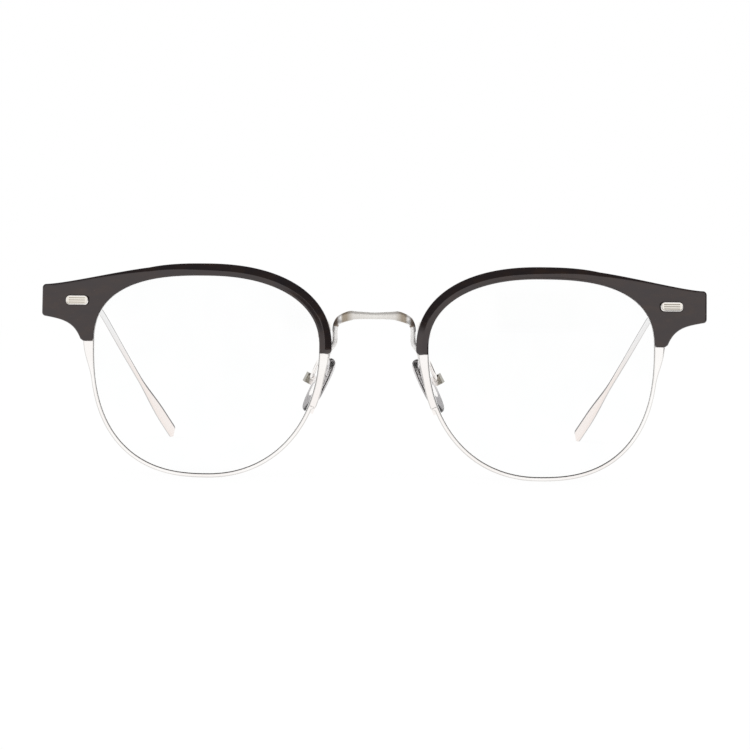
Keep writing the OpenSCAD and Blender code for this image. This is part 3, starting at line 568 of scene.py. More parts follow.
def box_shaded_metal():
    """Metal of the pad boxes, dark at their outer ends with painted shade."""
    material, tree, shader = new_material("pad_box_shaded_metal")
    aside = math_node(tree, "SUBTRACT", centimetres_aside(tree), 1.0)
    # Past a set distance from the middle the boxes turn dark: painted shade.
    pale, end_shade = (0.93, 0.88, 0.85), (0.34, 0.32, 0.27)
    tree.links.new(colours(tree, aside, [(0.33, pale), (0.385, end_shade)]),
                   shader.inputs["Base Color"])
    marks = noise(tree, MARK_SCALE, detail=4)
    tree.links.new(levels(tree, marks, *SATIN), shader.inputs["Roughness"])
    shader.inputs["Metallic"].default_value = 1.0
    return material


def acetate():
    """Polished near-black acetate with faint brown streaks in its depth."""
    material, tree, shader = new_material("dark_acetate")
    link = tree.links.new
    streaks = noise(tree, 220, (1, 1, 2.4), detail=5, rough=0.62)
    link(colours(tree, streaks, [(0.3, (0.015, 0.013, 0.015)), (0.52, (0.020, 0.015, 0.015)),
                                 (0.7, (0.029, 0.019, 0.015))]), shader.inputs["Base Color"])
    smudges = noise(tree, 900, detail=3)
    link(levels(tree, smudges, 0.09, 0.14), shader.inputs["Roughness"])
    shader.inputs["IOR"].default_value = 1.57
    shader.inputs["Specular Tint"].default_value = (1.0, 0.885, 0.87, 1)
    shader.inputs["Coat Weight"].default_value = 0.15
    shader.inputs["Coat Roughness"].default_value = 0.05
    return material


def clear_lens():
    """Clear coated lens, which mirrors little and lets lamps through to what is behind it."""
    material, tree, shader = new_material("clear_lens")
    link = tree.links.new
    shader.inputs["Transmission Weight"].default_value = 1.0
    shader.inputs["IOR"].default_value = 1.5
    shader.inputs["Specular Tint"].default_value = (0.1, 0.1, 0.12, 1)
    smudges = noise(tree, 140, detail=4)
    link(colours(tree, smudges, [(0.3, (0.985, 0.99, 0.99)), (0.7, (1, 1, 1))]),
         shader.inputs["Base Color"])
    link(levels(tree, smudges, 0.0, 0.012), shader.inputs["Roughness"])
    return let_lamps_through(material, tree, shader)


def let_lamps_through(material, tree, shader):
    """Makes a material cast hardly any shadow."""
    path = tree.nodes.new("ShaderNodeLightPath")
    open_side = add_node(tree, "ShaderNodeBsdfTransparent", Color=(0.96, 0.96, 0.96, 1))
    mix = tree.nodes.new("ShaderNodeMixShader")
    tree.links.new(path.outputs["Is Shadow Ray"], mix.inputs[0])
    tree.links.new(shader.outputs[0], mix.inputs[1])
    tree.links.new(open_side.outputs[0], mix.inputs[2])
    tree.links.new(mix.outputs[0], tree.nodes["Material Output"].inputs["Surface"])
    return material


def silicone():
    """Smoky silicone, darker toward its lower end with painted shade, and where light goes further
    through it.
    """
    material, tree, shader = new_material("smoky_silicone")
    link = tree.links.new
    cloud = noise(tree, 400, detail=3)
    # Dark toward the lower end by height: painted shade.
    height = step_between(tree, own_place(tree)["Z"], *PAD_FADE_Z, 0.0, PAD_FADE_SHARE)
    clouding = math_node(tree, "MULTIPLY", cloud, 1 - PAD_FADE_SHARE)
    height = math_node(tree, "ADD", height, clouding)
    dark, pale = (0.27, 0.255, 0.26), (0.96, 0.94, 0.94)
    link(colours(tree, height, [(0.1, dark), (0.9, pale)]), shader.inputs["Base Color"])
    link(levels(tree, cloud, 0.01, 0.04), shader.inputs["Roughness"])
    shader.inputs["Transmission Weight"].default_value = 0.96
    shader.inputs["IOR"].default_value = 1.41
    absorption = add_node(tree, "ShaderNodeVolumeAbsorption",
                          Color=(0.30, 0.28, 0.29, 1), Density=SMOKE_DENSITY)
    link(absorption.outputs[0], tree.nodes["Material Output"].inputs["Volume"])
    return let_lamps_through(material, tree, shader)


SILVER = metal("silver_metal", (0.95, 0.91, 0.885), (1.0, 0.985, 0.97), rough=(0.1, 0.16))
# Darker copy of the silver on the rims' inner break and outer round: a painted dark reflection.
RIM_EDGE_SHADE = metal("rim_edge_shade_metal", (0.66, 0.64, 0.62), (0.76, 0.74, 0.72))
TEMPLE_METAL = temple_metal()
# Near-black metal on the temples' upper inner corner and grey metal along their lower edges: a
# painted dark reflection and painted shade.
TEMPLE_EDGE_SHADE = metal("temple_edge_shade_metal", (0.03, 0.027, 0.025), (0.07, 0.06, 0.055), SATIN)
LOWER_EDGE_SHADE = metal("temple_lower_edge_shade", (0.54, 0.52, 0.51), (0.64, 0.62, 0.61), SATIN)
BRIDGE_SHADED_METAL = bridge_shaded_metal()
PLAQUE_METAL = metal("plaque_metal", (0.87, 0.82, 0.74), (0.97, 0.93, 0.86), stretch=(0.15, 1, 4))
# A brighter copy of the plaque's metal on its bevel: a painted highlight.
PLAQUE_EDGE_HIGHLIGHT = metal("plaque_edge_highlight_metal", (0.93, 0.90, 0.86), (1.0, 0.97, 0.95))
# Darker metal deep in the plaque's grooves: painted shade.
PLAQUE_LINE_SHADE = metal("plaque_line_shade_metal", (0.44, 0.40, 0.33), (0.52, 0.48, 0.41))
BOX_SHADED_METAL = box_shaded_metal()
STEEL = metal("screw_steel", (0.62, 0.60, 0.58), (0.72, 0.70, 0.68), rough=(0.2, 0.34))
ACETATE = acetate()
LENS = clear_lens()
SILICONE = silicone()


# Rims

def rim_width(t):
    """Width of the eyewire at an angle, wider beside the nose and under the brow's ends."""
    z = edge(t)[1]
    if t < 270:
        return RIM_FACE + (RIM_NASAL - RIM_FACE) * ramp(t, SPLIT_T + 1, SPLIT_T)
    if t <= 360 + LEG_T - SHOULDER_STEP:
        return RIM_FACE + (LEG_SHOULDER - RIM_FACE) * ramp(z, LEG_Z - LEG_TAPER, LEG_Z)
    if t <= 360 + FOOT_T:
        return RIM_FACE
    return RIM_NASAL + (RIM_SHOULDER - RIM_NASAL) * ramp(z, BROW_FOOT_Z - SHOULDER_TAPER, BROW_FOOT_Z)


def rim_profile(w):
    """Section of an eyewire w wide, with the groove on its lens side."""
    h, g = RIM_DEPTH / 2, GROOVE_W / 2
    corners = [(0, -h), (w, -h), (w, h), (0, h), (0, g), (GROOVE_DEPTH, g * GROOVE_FLOOR),
               (GROOVE_DEPTH, -g * GROOVE_FLOOR), (0, -g)]
    inner, outer = RIM_BREAK * CORNER_DRAW, RIM_ROUND * CORNER_DRAW
    return rounded(corners, [inner, outer, outer, inner,
                             GROOVE_LIP, GROOVE_ROOT, GROOVE_ROOT, GROOVE_LIP])


def make_rims():
    half = SPLIT_GAP / 2 / np.linalg.norm(edge(SPLIT_T + 1) - edge(SPLIT_T))
    start, end = SPLIT_T + half, 360 + SPLIT_T - half
    leg, foot = 360 + LEG_T, 360 + FOOT_T
    angles = np.concatenate([np.arange(start, leg - SHOULDER_STEP, RIM_STEP),
                             [leg - SHOULDER_STEP], np.arange(leg, foot, RIM_STEP),
                             [foot, foot + SHOULDER_STEP],
                             np.arange(foot + SHOULDER_STEP + 1, end, RIM_STEP), [end]])
    rings = []
    for t in angles:
        profile = rim_profile(rim_width(t))
        rings.append(on_curve(beyond(t, profile[:, 0]), profile[:, 1]))
    # The inner front break and the outer front round take the darker metal, a painted dark
    # reflection.
    rim_shade_strips = (1, 2, 6, 7)
    for side, mirrored in sides():
        rim = mesh_object(f"eyewire_{side}", *loft(rings), mirrored, cap_size=len(rings[0]),
                          edges=(rim_shade_strips,))
        smooth(rim, sharp=50)
        dress(rim, (SILVER, RIM_EDGE_SHADE), "silver_metal", "front", f"rim_{side}")


# Lenses

def make_lenses():
    around = np.arange(0, 360, 1.5)
    outline = edge(around) - LENS_FIT * outward(around)
    tongue = edge(around) + (GROOVE_DEPTH - LENS_FIT) * outward(around)
    middle = np.array([LENS_X, LENS_Z])
    tongue_t = GROOVE_W * GROOVE_FLOOR / 2 - LENS_FIT
    shares = np.linspace(LENS_HUB, 1, 26)
    shares[-1] = LENS_FLAT
    rings = [on_curve(middle + s * (outline - middle), -LENS_T / 2) for s in shares]
    rings.append(on_curve(outline, LENS_CHAMFER - LENS_T / 2))
    rings.append(on_curve(outline, -tongue_t - TONGUE_RISE))
    rings.append(on_curve(tongue, -tongue_t))
    rings.append(on_curve(tongue, tongue_t))
    rings.append(on_curve(outline, tongue_t + TONGUE_RISE))
    rings.append(on_curve(outline, LENS_T / 2 - LENS_CHAMFER))
    rings += [on_curve(middle + s * (outline - middle), LENS_T / 2) for s in shares[::-1]]
    for side, mirrored in sides():
        lens = mesh_object(f"clear_lens_{side}", *loft(rings), mirrored)
        smooth(lens, sharp=30, weighted=False)
        dress(lens, LENS, "lens", "front", f"lens_{side}")


# Brows

def band(t):
    """Width of the band at an angle, fullest at its upper nasal corner."""
    return BROW_BAND + BROW_GAIN * ramp(np.abs(t - FULL_T), FULL_REACH, 0)


def bevel_width(x):
    """Width of the bevel at a distance from the middle, narrower toward the outer end."""
    return BEVEL_W + (BEVEL_END_W - BEVEL_W) * ramp(x, BEVEL_FULL_X, BEVEL_END_X)


UNDER_STOPS, CORNER_STOPS = 8, 3
END_STOPS = 2 * (UNDER_STOPS + CORNER_STOPS) + 1


def end_outline():
    """The outer end's outline from the leg's foot round to the band, with the place along it."""
    leg_edge = edge(LEG_T) + [LEG_W + LEG_SLANT * LEG_CHAMFER, LEG_CHAMFER]
    band_start = beyond(FLARE_T, BROW_BAND)
    low = np.array([BROW_END_X - BROW_CORNER, BROW_END_LOW])
    top = np.array([BROW_END_X - BROW_CORNER, BROW_END_TOP])
    under = [leg_edge, leg_edge + LEG_PULL, low - LOW_PULL, low]
    over = [top, top - TOP_PULL, band_start + BAND_PULL, band_start]
    u = np.linspace(0, 1, EDGE_POINTS)
    turn = np.radians(np.linspace(0, 90, ARC_POINTS))
    low_arc = low + [0, BROW_CORNER] + BROW_CORNER * np.stack([np.sin(turn), -np.cos(turn)], -1)
    top_arc = top - [0, BROW_CORNER] + BROW_CORNER * np.stack([np.cos(turn), np.sin(turn)], -1)
    wall = np.linspace(low_arc[-1], top_arc[0], ARC_POINTS)
    stretches = [(bezier(under, u), 0, UNDER_STOPS), (low_arc, UNDER_STOPS, CORNER_STOPS),
                 (wall, UNDER_STOPS + CORNER_STOPS, 1),
                 (top_arc, UNDER_STOPS + CORNER_STOPS + 1, CORNER_STOPS),
                 (bezier(over, u), UNDER_STOPS + 2 * CORNER_STOPS + 1, UNDER_STOPS)]
    points, places = [], []
    for k, (stretch, first, length) in enumerate(stretches):
        skip = 0 if k == 0 else 1
        points.append(stretch[skip:])
        places.append((first + length * np.linspace(0, 1, len(stretch)))[skip:])
    return np.concatenate(points), np.concatenate(places)


def brow_stations():
    """Inner points, outer points, angles and bevel widths along a brow."""
    outer, place = end_outline()
    share = place / END_STOPS
    foot_inner = edge(LEG_T) + [LEG_CHAMFER, 0]
    foot_outer = edge(LEG_T) + [LEG_W - LEG_CHAMFER, 0]
    low_t = temporal_at(LEG_Z + LEG_CHAMFER)
    t = low_t + (FLARE_T - low_t) * share ** END_SPREAD
    corner_t = nasal_at(BROW_FOOT_Z + FOOT_CORNER)
    over_t = np.arange(FLARE_T + 1, corner_t - 0.4, 1.0)
    turn = np.radians(np.linspace(0, 90, ARC_POINTS))
    rise = FOOT_CORNER * (1 - np.sin(turn))
    foot_t = np.array([nasal_at(BROW_FOOT_Z + r) for r in rise])
    widths = band(foot_t) - FOOT_CORNER * (1 - np.cos(turn))
    inner = np.concatenate([[foot_inner], edge(t), edge(over_t), edge(foot_t)])
    outer = np.concatenate([[foot_outer], outer, beyond(over_t, band(over_t)),
                            beyond(foot_t, widths)])
    angles = np.concatenate([[LEG_T], t, over_t, foot_t])
    return inner, outer, angles, bevel_width(outer[:, 0])


def brow_profile(m, bevel, rebate):
    """Section of a brow, m wide: across from the lens side, and depth from the front curve."""
    front, back = -BROW_FRONT, BROW_BACK
    rebate_front = -RIM_DEPTH / 2 - LENS_FIT
    face_end = m - bevel
    corners = [(0, front + BROW_BREAK), (BROW_BREAK, front)]
    radii = [BREAK_DRAW, BREAK_DRAW]
    for share in (0.2, 0.4, 0.6, 0.8):
        corners.append((BROW_BREAK + (face_end - BROW_BREAK) * share, front))
        radii.append(FACE_DRAW)
    corners += [(face_end, front), (m, front + BEVEL_D * bevel / BEVEL_W), (m, back - BROW_BREAK),
                (m - BROW_BREAK, back), (rebate, back), (rebate, rebate_front), (0, rebate_front)]
    radii += [min(CREST_DRAW, bevel * CREST_SHARE), SIDE_DRAW, BREAK_DRAW, BREAK_DRAW]
    radii += REBATE_DRAWS
    return rounded(corners, radii, 3)


def on_front(x, z, depth=0.0):
    """Frame on the front curve at x and z, its Y square to the curve and pointing back."""
    y = float(base_y(x, z))
    place = Matrix.Translation((x, y - MIDDLE_Y, z))
    turn = Matrix.Rotation(math.atan2(x - APEX_X, BASE_R - y), 4, "Z")
    tilt = Matrix.Rotation(math.asin((APEX_Z - z) / BASE_R), 4, "X")
    return place @ turn @ tilt @ Matrix.Translation((0, depth, 0))


def plaque_outline(inset):
    """Outline of a plaque, drawn in by inset."""
    return box_outline(PLAQUE_W - 2 * inset, PLAQUE_H - 2 * inset, PLAQUE_CORNER - inset / 2, 6)


def prism(name, outline, y0, y1, place, mirrored):
    """Outline in x and z, pulled along Y from y0 to y1 and put in place."""
    rings = [[tuple(place @ Vector((x, y, z))) for x, z in outline] for y in (y0, y1)]
    return mesh_object(name, *loft(rings), mirrored)


def make_brows():
    inner, outer, angles, bevels = brow_stations()
    tangent = np.gradient(outer, axis=0)
    normal = unit(np.stack([tangent[:, 1], -tangent[:, 0]], -1))
    rings = []
    for k in range(len(inner)):
        span = outer[k] - inner[k]
        m = np.linalg.norm(span)
        direction = span / m
        slant = 1 - max(abs(direction @ normal[k]), LEAST_COSINE)
        lean = 1 - slant * ramp(bevels[k], LEAN_FROM * BEVEL_W, LEAN_TO * BEVEL_W)
        rebate = (RIM_FACE + LENS_FIT) / (direction @ outward(angles[k]))
        profile = brow_profile(m, bevels[k] / lean, rebate)
        rings.append(on_curve(inner[k] + profile[:, :1] * direction, profile[:, 1]))
    points, faces = loft(rings)
    for side, mirrored in sides():
        brow = mesh_object(f"brow_shell_{side}", points, faces, mirrored,
                           cap_bevel=BROW_CAP_BREAK, cap_size=len(rings[0]))
        pocket = prism("pocket", plaque_outline(-PLAQUE_GAP), CUT_AHEAD, PLAQUE_INLAY,
                       on_front(PLAQUE_X, PLAQUE_Z, -BROW_FRONT), mirrored)
        cut(brow, pocket)
        smooth(brow, sharp=45)
        dress(brow, ACETATE, "acetate", "front", f"brow_{side}")


# Plaques

def finish_plaque(plaque, place, proud, mirrored):
    """Gives a plaque's polished bevel a painted highlight in a brighter metal, and paints shade into
    its grooves with a darker one.
    """
    plaque.data.materials.append(PLAQUE_EDGE_HIGHLIGHT)
    plaque.data.materials.append(PLAQUE_LINE_SHADE)
    back = place.inverted()
    flip = Vector((-1, 1, 1) if mirrored else (1, 1, 1))
    for face in plaque.data.polygons:
        centre = back @ (face.center / MM * flip)
        # Faces on the bevel take the brighter metal, a painted highlight.
        reach = max(abs(centre.x) - PLAQUE_W / 2, abs(centre.z) - PLAQUE_H / 2)
        # Faces deep in a groove take the darker metal, a painted shade.
        shaded_deep = centre.y > LINE_SHADE_DEPTH - proud
        face.material_index = 1 if reach > -PLAQUE_BEVEL - PLAQUE_SUNK else 2 if shaded_deep else 0


def make_plaques():
    proud = PLAQUE_T - PLAQUE_INLAY
    place = on_front(PLAQUE_X, PLAQUE_Z, -BROW_FRONT)
    section = [(0.0, PLAQUE_INLAY - PLAQUE_SEAT), (0.0, 0.0), (0.0, PLAQUE_SIDE - proud),
               (PLAQUE_BREAK, -proud), (PLAQUE_BEVEL, -proud),
               (PLAQUE_BEVEL + PLAQUE_SUNK, PLAQUE_SUNK - proud)]
    rings = []
    for inset, y in section:
        rings.append([tuple(place @ Vector((x, y, z))) for x, z in plaque_outline(inset)])
    for side, mirrored in sides():
        plaque = mesh_object(f"plaque_face_{side}", *loft(rings), mirrored)
        for k in (-1, 0, 1):
            z = k * PLAQUE_PITCH
            reach = PLAQUE_W / 2 - LINE_END
            half = PLAQUE_GROOVE / 2
            strip = [(-reach, z - half), (reach, z - half), (reach, z + half), (-reach, z + half)]
            groove = prism("groove", strip, CUT_AHEAD, LINE_DEPTH - proud, place, mirrored)
            cut(plaque, groove)
        soften = plaque.modifiers.new("soften", "BEVEL")
        soften.width = PLAQUE_SOFT * MM
        soften.segments = 2
        soften.limit_method = "ANGLE"
        soften.angle_limit = math.radians(30)
        smooth(plaque, sharp=60)
        dress(plaque, PLAQUE_METAL, "plaque_metal", "front", f"plaque_{side}")
        finish_plaque(plaque, place, proud, mirrored)


# Bridge

def bridge_rows():
    """Points of one half as [x, y, z, width, depth], width across the path seen from the front."""
    back = BROW_BACK + FOOT_GAP + FOOT_DEPTH / 2
    seat = beyond(nasal_at(BROW_FOOT_Z - FOOT_DROP), RIM_SHOULDER - FOOT_W / 2)
    seat_y = float(base_y(*seat))
    s, h, d = BAR_SHOULDER_X, BAR_H, BAR_DEPTH
    mixed = (BAR_H + BAR_SHOULDER_H) / 2
    return [
        [0, -0.45, BAR_Z, h, d],
        [s * 0.45, -0.4, BAR_Z + 0.05, h * 1.08, d],
        [s * 0.8, -0.3, BAR_Z + 0.06, mixed, d],
        [s, -0.1, BAR_Z, BAR_SHOULDER_H, d],
        [s + 1.2, 0.3, BAR_Z - 0.35, BAR_SHOULDER_H * 0.95, d * 0.95],
        [FOOT_X - 1.1, 1.0, BAR_Z - 0.85, BAR_SHOULDER_H * 0.85, d * 0.85],
        [FOOT_X - 0.4, 1.95, BAR_Z - 1.6, FOOT_W * 1.15, FOOT_DEPTH * 1.1],
        [FOOT_X - 0.05, 2.5, BAR_Z - 2.7, FOOT_W, FOOT_DEPTH],
        [FOOT_X, base_y(FOOT_X, BAR_Z - 4.5) + back, BAR_Z - 4.5, FOOT_W, FOOT_DEPTH],
        [FOOT_X + 0.15, base_y(FOOT_X, LEG_Z) + back, LEG_Z, FOOT_W, FOOT_DEPTH],
        [seat[0] - 0.6, seat_y + back, BROW_FOOT_Z + 0.5, FOOT_W, FOOT_DEPTH],
        [seat[0], seat_y + RIM_DEPTH / 2 + SOLDER + FOOT_DEPTH / 2, seat[1], FOOT_W, FOOT_DEPTH],
    ]


def make_bridge():
    half = np.array(bridge_rows(), float)
    other = half[:0:-1] * [-1, 1, 1, 1, 1]
    rows = through(np.concatenate([other, half]), 9)
    paths = np.gradient(rows[:, :3], axis=0)
    rings = [ring(row[:3], path, (0, -1, 0), oval(row[4], row[3], BAR_POINTS, BAR_SQUARE))
             for row, path in zip(rows, paths)]
    bar = mesh_object("bridge_bar", *loft(to_row(rings)), cap_bevel=BAR_END_BREAK,
                      cap_size=BAR_POINTS)
    smooth(bar, sharp=50)
    dress(bar, BRIDGE_SHADED_METAL, "silver_metal", "front", "bridge")


# Temples

def temple_section(w, h, r, strip):
    """Rounded box with one more point inside, a strip below its upper inner corner that takes a
    painted dark reflection.
    """
    outline = box_outline(w, h, r)
    return np.insert(outline, STRIP_AT, [-w / 2, -h / 2 + r + strip], axis=0)


def slanted(p, direction, lead, section):
    """A temple's section at p, its upper side reaching ahead of its lower one by lead."""
    return ring(p, direction, (1, 0, 0), section) - section[:, 1:] * lead / PADDLE_H * direction


def make_temples():
    blade_x = ARM_X + BLADE_T / 2
    blade_end = np.array([blade_x, HINGE_Y + BEND_Y, HINGE_Z - BEND_DROP])
    blade_dir = unit([0, BEND_Y, -BEND_DROP])
    tip_dir = unit(TIP_AIM)
    upright = math.sqrt(1 - tip_dir[2] ** 2)
    turn = np.radians(np.linspace(0, TIP_TURN, 12))
    along, share = TIP_BULGE * TIP_END * np.sin(turn), np.cos(turn) ** TIP_FULLNESS
    drop = max(share * (PADDLE_H * upright + TIP_LEAD * tip_dir[2]) / 2 - tip_dir[2] * along)
    tip = np.array([TIP_X, HINGE_Y + TIP_Y, drop])
    ear = [blade_end, blade_end + EAR_NEAR * blade_dir, tip - EAR_FAR * tip_dir, tip]
    rings = []
    for u in np.linspace(0, 1, 40)[:-1]:
        centre = [blade_x, HINGE_Y + BEND_Y * u, HINGE_Z - BEND_DROP * u]
        height = LUG_H + (BLADE_H - LUG_H) * u
        rings.append(ring(centre, (0, 1, 0), (1, 0, 0),
                          temple_section(BLADE_T, height, BLADE_CORNER, BLADE_STRIP)))
    for u in np.linspace(0, 1, 90):
        height = BLADE_H + (PADDLE_H - BLADE_H) * ramp(u, PADDLE_FROM, PADDLE_TO)
        thick = BLADE_T + (PADDLE_T - BLADE_T) * u
        corner = BLADE_CORNER + PADDLE_CORNER_MORE * ramp(u, *CORNER_SPAN)
        strip = BLADE_STRIP + (EDGE_STRIP - BLADE_STRIP) * ramp(u, *STRIP_SPAN)
        rings.append(slanted(bezier(ear, u), slope(ear, u), TIP_LEAD * ramp(u, *LEAD_SPAN),
                             temple_section(thick, height, corner, strip)))
    for a, s in zip(along[1:], share[1:]):
        section = temple_section(PADDLE_T * (TIP_THIN + (1 - TIP_THIN) * s), PADDLE_H * s,
                                 TIP_CORNER * s, EDGE_STRIP * s)
        rings.append(slanted(tip + tip_dir * a, tip_dir, TIP_LEAD, section))
    # The upper inner strip takes a painted dark reflection, and the lower edges take painted shade.
    upper_inner_shade_faces, lower_shade_faces = range(STRIP_AT, STRIP_AT + 5), range(4)
    for side, mirrored in sides():
        temple = mesh_object(f"temple_arm_{side}", *loft(to_row(rings)), mirrored,
                             cap_bevel=BLADE_END_BREAK, cap_size=len(rings[0]),
                             edges=(upper_inner_shade_faces, lower_shade_faces))
        smooth(temple, sharp=50)
        dress(temple, (TEMPLE_METAL, TEMPLE_EDGE_SHADE, LOWER_EDGE_SHADE), "temple_metal", f"{side}_temple",
              f"temple_{side}")


# Nose pads

PAD_PLACE = (Matrix.Translation((PAD_X, PAD_Y - MIDDLE_Y, PAD_Z))
             @ Matrix.Rotation(math.radians(-PAD_LEAN), 4, "Y")
             @ Matrix.Rotation(math.radians(-PAD_SPLAY), 4, "Z"))
PAD_SECTION = [(-0.5, 0.02), (-0.495, 0.2), (-0.47, 0.5), (-0.42, 0.73), (-0.34, 0.87),
               (-0.22, 0.95), (-0.08, 0.99), (0.06, 1), (0.22, 0.99), (0.36, 0.96), (0.45, 0.91),
               (0.49, 0.84), (0.5, 0.7), (0.5, 0.4), (0.5, 0.02)]


def make_pads():
    rings = []
    for x, s in through(PAD_SECTION, 3):
        length = PAD_LEN * (1 - (1 - s) * PAD_W / PAD_LEN)
        flat = oval(PAD_W * s, length, PAD_POINTS, PAD_SQUARE)
        rings.append([tuple(PAD_PLACE @ Vector((x * PAD_T, y, z))) for y, z in flat])
    for side, mirrored in sides():
        pad = mesh_object(f"pad_cushion_{side}", *loft(rings), mirrored)
        smooth(pad, sharp=60, weighted=False)
        dress(pad, SILICONE, "pad_silicone", f"{side}_pad", f"nose_pad_{side}")


def make_pad_wires():
    face = EYE_W / 2 + BOX_GAP + BOX_WALL + WIRE_END_GAP
    root = beyond(nasal_at(PAD_Z + WIRE_RISE), WIRE_D / 2 - WIRE_SUNK)
    start = on_curve(root, RIM_DEPTH / 2 + WIRE_BEHIND)
    at_box = Vector((PAD_SCREW_OFF + WIRE_END_X, -face, PAD_SCREW_Z + WIRE_END_Z))
    end = np.array(PAD_PLACE @ at_box)
    rear = np.array(PAD_PLACE.to_3x3() @ Vector((0, 1, 0)))
    path = [start, start + WIRE_OUT, end + WIRE_IN, end]
    rings = []
    for u in np.linspace(0, 1, 41):
        heading = (0, 1, 0) if u == 0 else rear if u == 1 else slope(path, u)
        rings.append(ring(bezier(path, u), heading, (1, 0, 0), oval(WIRE_D, WIRE_D, WIRE_POINTS)))
    for side, mirrored in sides():
        wire = mesh_object(f"pad_wire_{side}", *loft(rings), mirrored)
        smooth(wire, sharp=50)
        dress(wire, SILVER, "silver_metal", "front", f"pad_arm_{side}")


# Small metal parts that keep their own shape

def finish_nodes():
    for name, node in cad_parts.items():
        if node.hide_render:
            continue
        material = STEEL if "screw" in name else BOX_SHADED_METAL if "box" in name else SILVER
        for slot in node.material_slots:
            slot.material = material


# Studio

# Floor: its size, its glow's strength, and the share of the glow that the eye sees
FLOOR_SIZE, FLOOR_STRENGTH, FLOOR_GLOW = 3.0, 1.02, 0.94
LAMP_SIZE = 0.5
LAMPS = (("lamp_left", (-0.7, -0.6, 0.8), 2.2), ("lamp_right", (0.8, -0.4, 0.7), 1.6))
# Strength of the world as a light, where the eye sees 1
LIT = 0.75
# Spans in the world's directions where gloss sees something dark
CEILING_SPAN = (0.36, 0.52)
WALL_SPAN = (0.76, 0.86)
WALL_FOOT = (0.2, 0.38)
CARD_X = (0.03, 0.08, 0.30, 0.40)
CARD_Z = (0.11, 0.15, 0.255, 0.275)
CARD_Y = (-0.7, -0.6)
CARD_SHARE = 0.95
DARK_TONE = (0.035, 0.028, 0.026)


def make_floor():
    half = FLOOR_SIZE / 2
    mesh = bpy.data.meshes.new("floor")
    mesh.from_pydata([(-half, -half, 0), (half, -half, 0), (half, half, 0), (-half, half, 0)],
                     [], [(0, 1, 2, 3)])
    floor = bpy.data.objects.new("floor", mesh)
    bpy.context.scene.collection.objects.link(floor)
    material, tree, shader = new_material("pale_floor")
    shader.inputs["Base Color"].default_value = (0.9, 0.9, 0.9, 1)
    shader.inputs["Roughness"].default_value = 0.9
    shader.inputs["Specular IOR Level"].default_value = 0.0
    glow = add_node(tree, "ShaderNodeEmission", Strength=FLOOR_STRENGTH)
    mix = tree.nodes.new("ShaderNodeMixShader")
    tree.links.new(math_node(tree, "MULTIPLY", seen_rays(tree), FLOOR_GLOW), mix.inputs[0])
    tree.links.new(shader.outputs[0], mix.inputs[1])
    tree.links.new(glow.outputs[0], mix.inputs[2])
    tree.links.new(mix.outputs[0], tree.nodes["Material Output"].inputs["Surface"])
    mesh.materials.append(material)


def seen_rays(tree, glossy=True):
    """1 for rays from the camera, through glass and, if asked, off shiny surfaces."""
    path = tree.nodes.new("ShaderNodeLightPath")
    seen = math_node(tree, "MAXIMUM", path.outputs["Is Camera Ray"],
                     path.outputs["Is Transmission Ray"])
    if glossy:
        seen = math_node(tree, "MAXIMUM", seen, path.outputs["Is Glossy Ray"])
    return seen


def window(tree, value, span):
    """1 inside a span of four numbers: where it starts to rise, is full, starts to fall, ends."""
    rise = step_between(tree, value, span[0], span[1], 0.0, 1.0)
    fall = step_between(tree, value, span[2], span[3], 1.0, 0.0)
    return math_node(tree, "MULTIPLY", rise, fall)


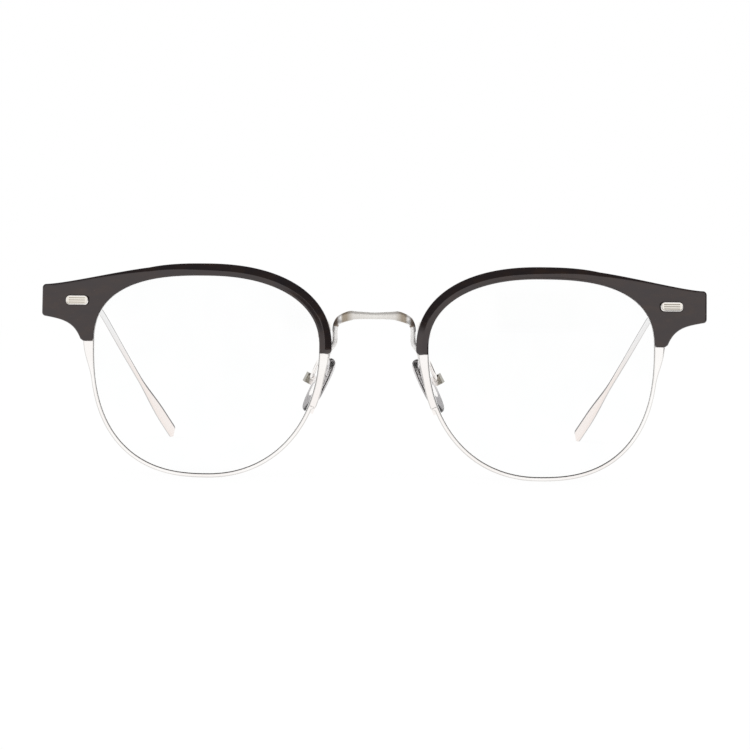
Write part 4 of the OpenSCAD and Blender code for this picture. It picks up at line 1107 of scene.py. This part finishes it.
def make_world():
    """White all round to the eye. Gloss shows a dark ceiling, dark sides and a small dark card."""
    world = bpy.data.worlds.new("studio")
    bpy.context.scene.world = world
    world.use_nodes = True
    world.cycles.sampling_method = "NONE"
    tree = world.node_tree
    background = tree.nodes["Background"]
    place = tree.nodes.new("ShaderNodeTexCoord")
    parts = tree.nodes.new("ShaderNodeSeparateXYZ")
    tree.links.new(place.outputs["Generated"], parts.inputs[0])
    aside = math_node(tree, "ABSOLUTE", parts.outputs["X"], 0.0)
    ceiling = step_between(tree, parts.outputs["Z"], *CEILING_SPAN, 0.0, 1.0)
    left_wall = step_between(tree, parts.outputs["X"], *WALL_SPAN, 0.0, 1.0)
    right_wall = step_between(tree, aside, *WALL_SPAN, 0.0, 1.0)
    raised = step_between(tree, parts.outputs["Z"], *WALL_FOOT, 0.0, 1.0)
    walls = math_node(tree, "MAXIMUM", left_wall, math_node(tree, "MULTIPLY", right_wall, raised))
    across = window(tree, parts.outputs["X"], CARD_X)
    upward = window(tree, parts.outputs["Z"], CARD_Z)
    front = step_between(tree, parts.outputs["Y"], *CARD_Y, 1.0, 0.0)
    card = math_node(tree, "MULTIPLY", math_node(tree, "MULTIPLY", across, upward), front)
    card = math_node(tree, "MULTIPLY", card, CARD_SHARE)
    dark = math_node(tree, "MAXIMUM", math_node(tree, "MAXIMUM", ceiling, walls), card)
    path = tree.nodes.new("ShaderNodeLightPath")
    glossy = path.outputs["Is Glossy Ray"]
    dark = math_node(tree, "MULTIPLY", dark, glossy)
    tree.links.new(colours(tree, dark, [(0.0, (1, 1, 1)), (1.0, DARK_TONE)]),
                   background.inputs["Color"])
    seen = math_node(tree, "MAXIMUM", seen_rays(tree, glossy=False), glossy)
    strength = math_node(tree, "ADD", math_node(tree, "MULTIPLY", seen, 1.0 - LIT), LIT)
    tree.links.new(strength, background.inputs["Strength"])


def make_lamp(name, place, power, size):
    """A soft square lamp, aimed at the middle of the floor and unseen in gloss and glass."""
    data = bpy.data.lights.new(name, "AREA")
    data.energy = power
    data.size = size
    lamp = bpy.data.objects.new(name, data)
    bpy.context.scene.collection.objects.link(lamp)
    lamp.visible_glossy = False
    lamp.visible_transmission = False
    place = Vector(place)
    lamp.location = place
    lamp.rotation_euler = (-place).to_track_quat("-Z", "Y").to_euler()


def make_studio():
    make_floor()
    make_world()
    for name, place, power in LAMPS:
        make_lamp(name, place, power, LAMP_SIZE)
    bpy.context.scene.view_settings.view_transform = "Standard"


make_camera()
make_studio()
make_rims()
make_lenses()
make_brows()
make_plaques()
make_bridge()
make_temples()
make_pads()
make_pad_wires()
finish_nodes()
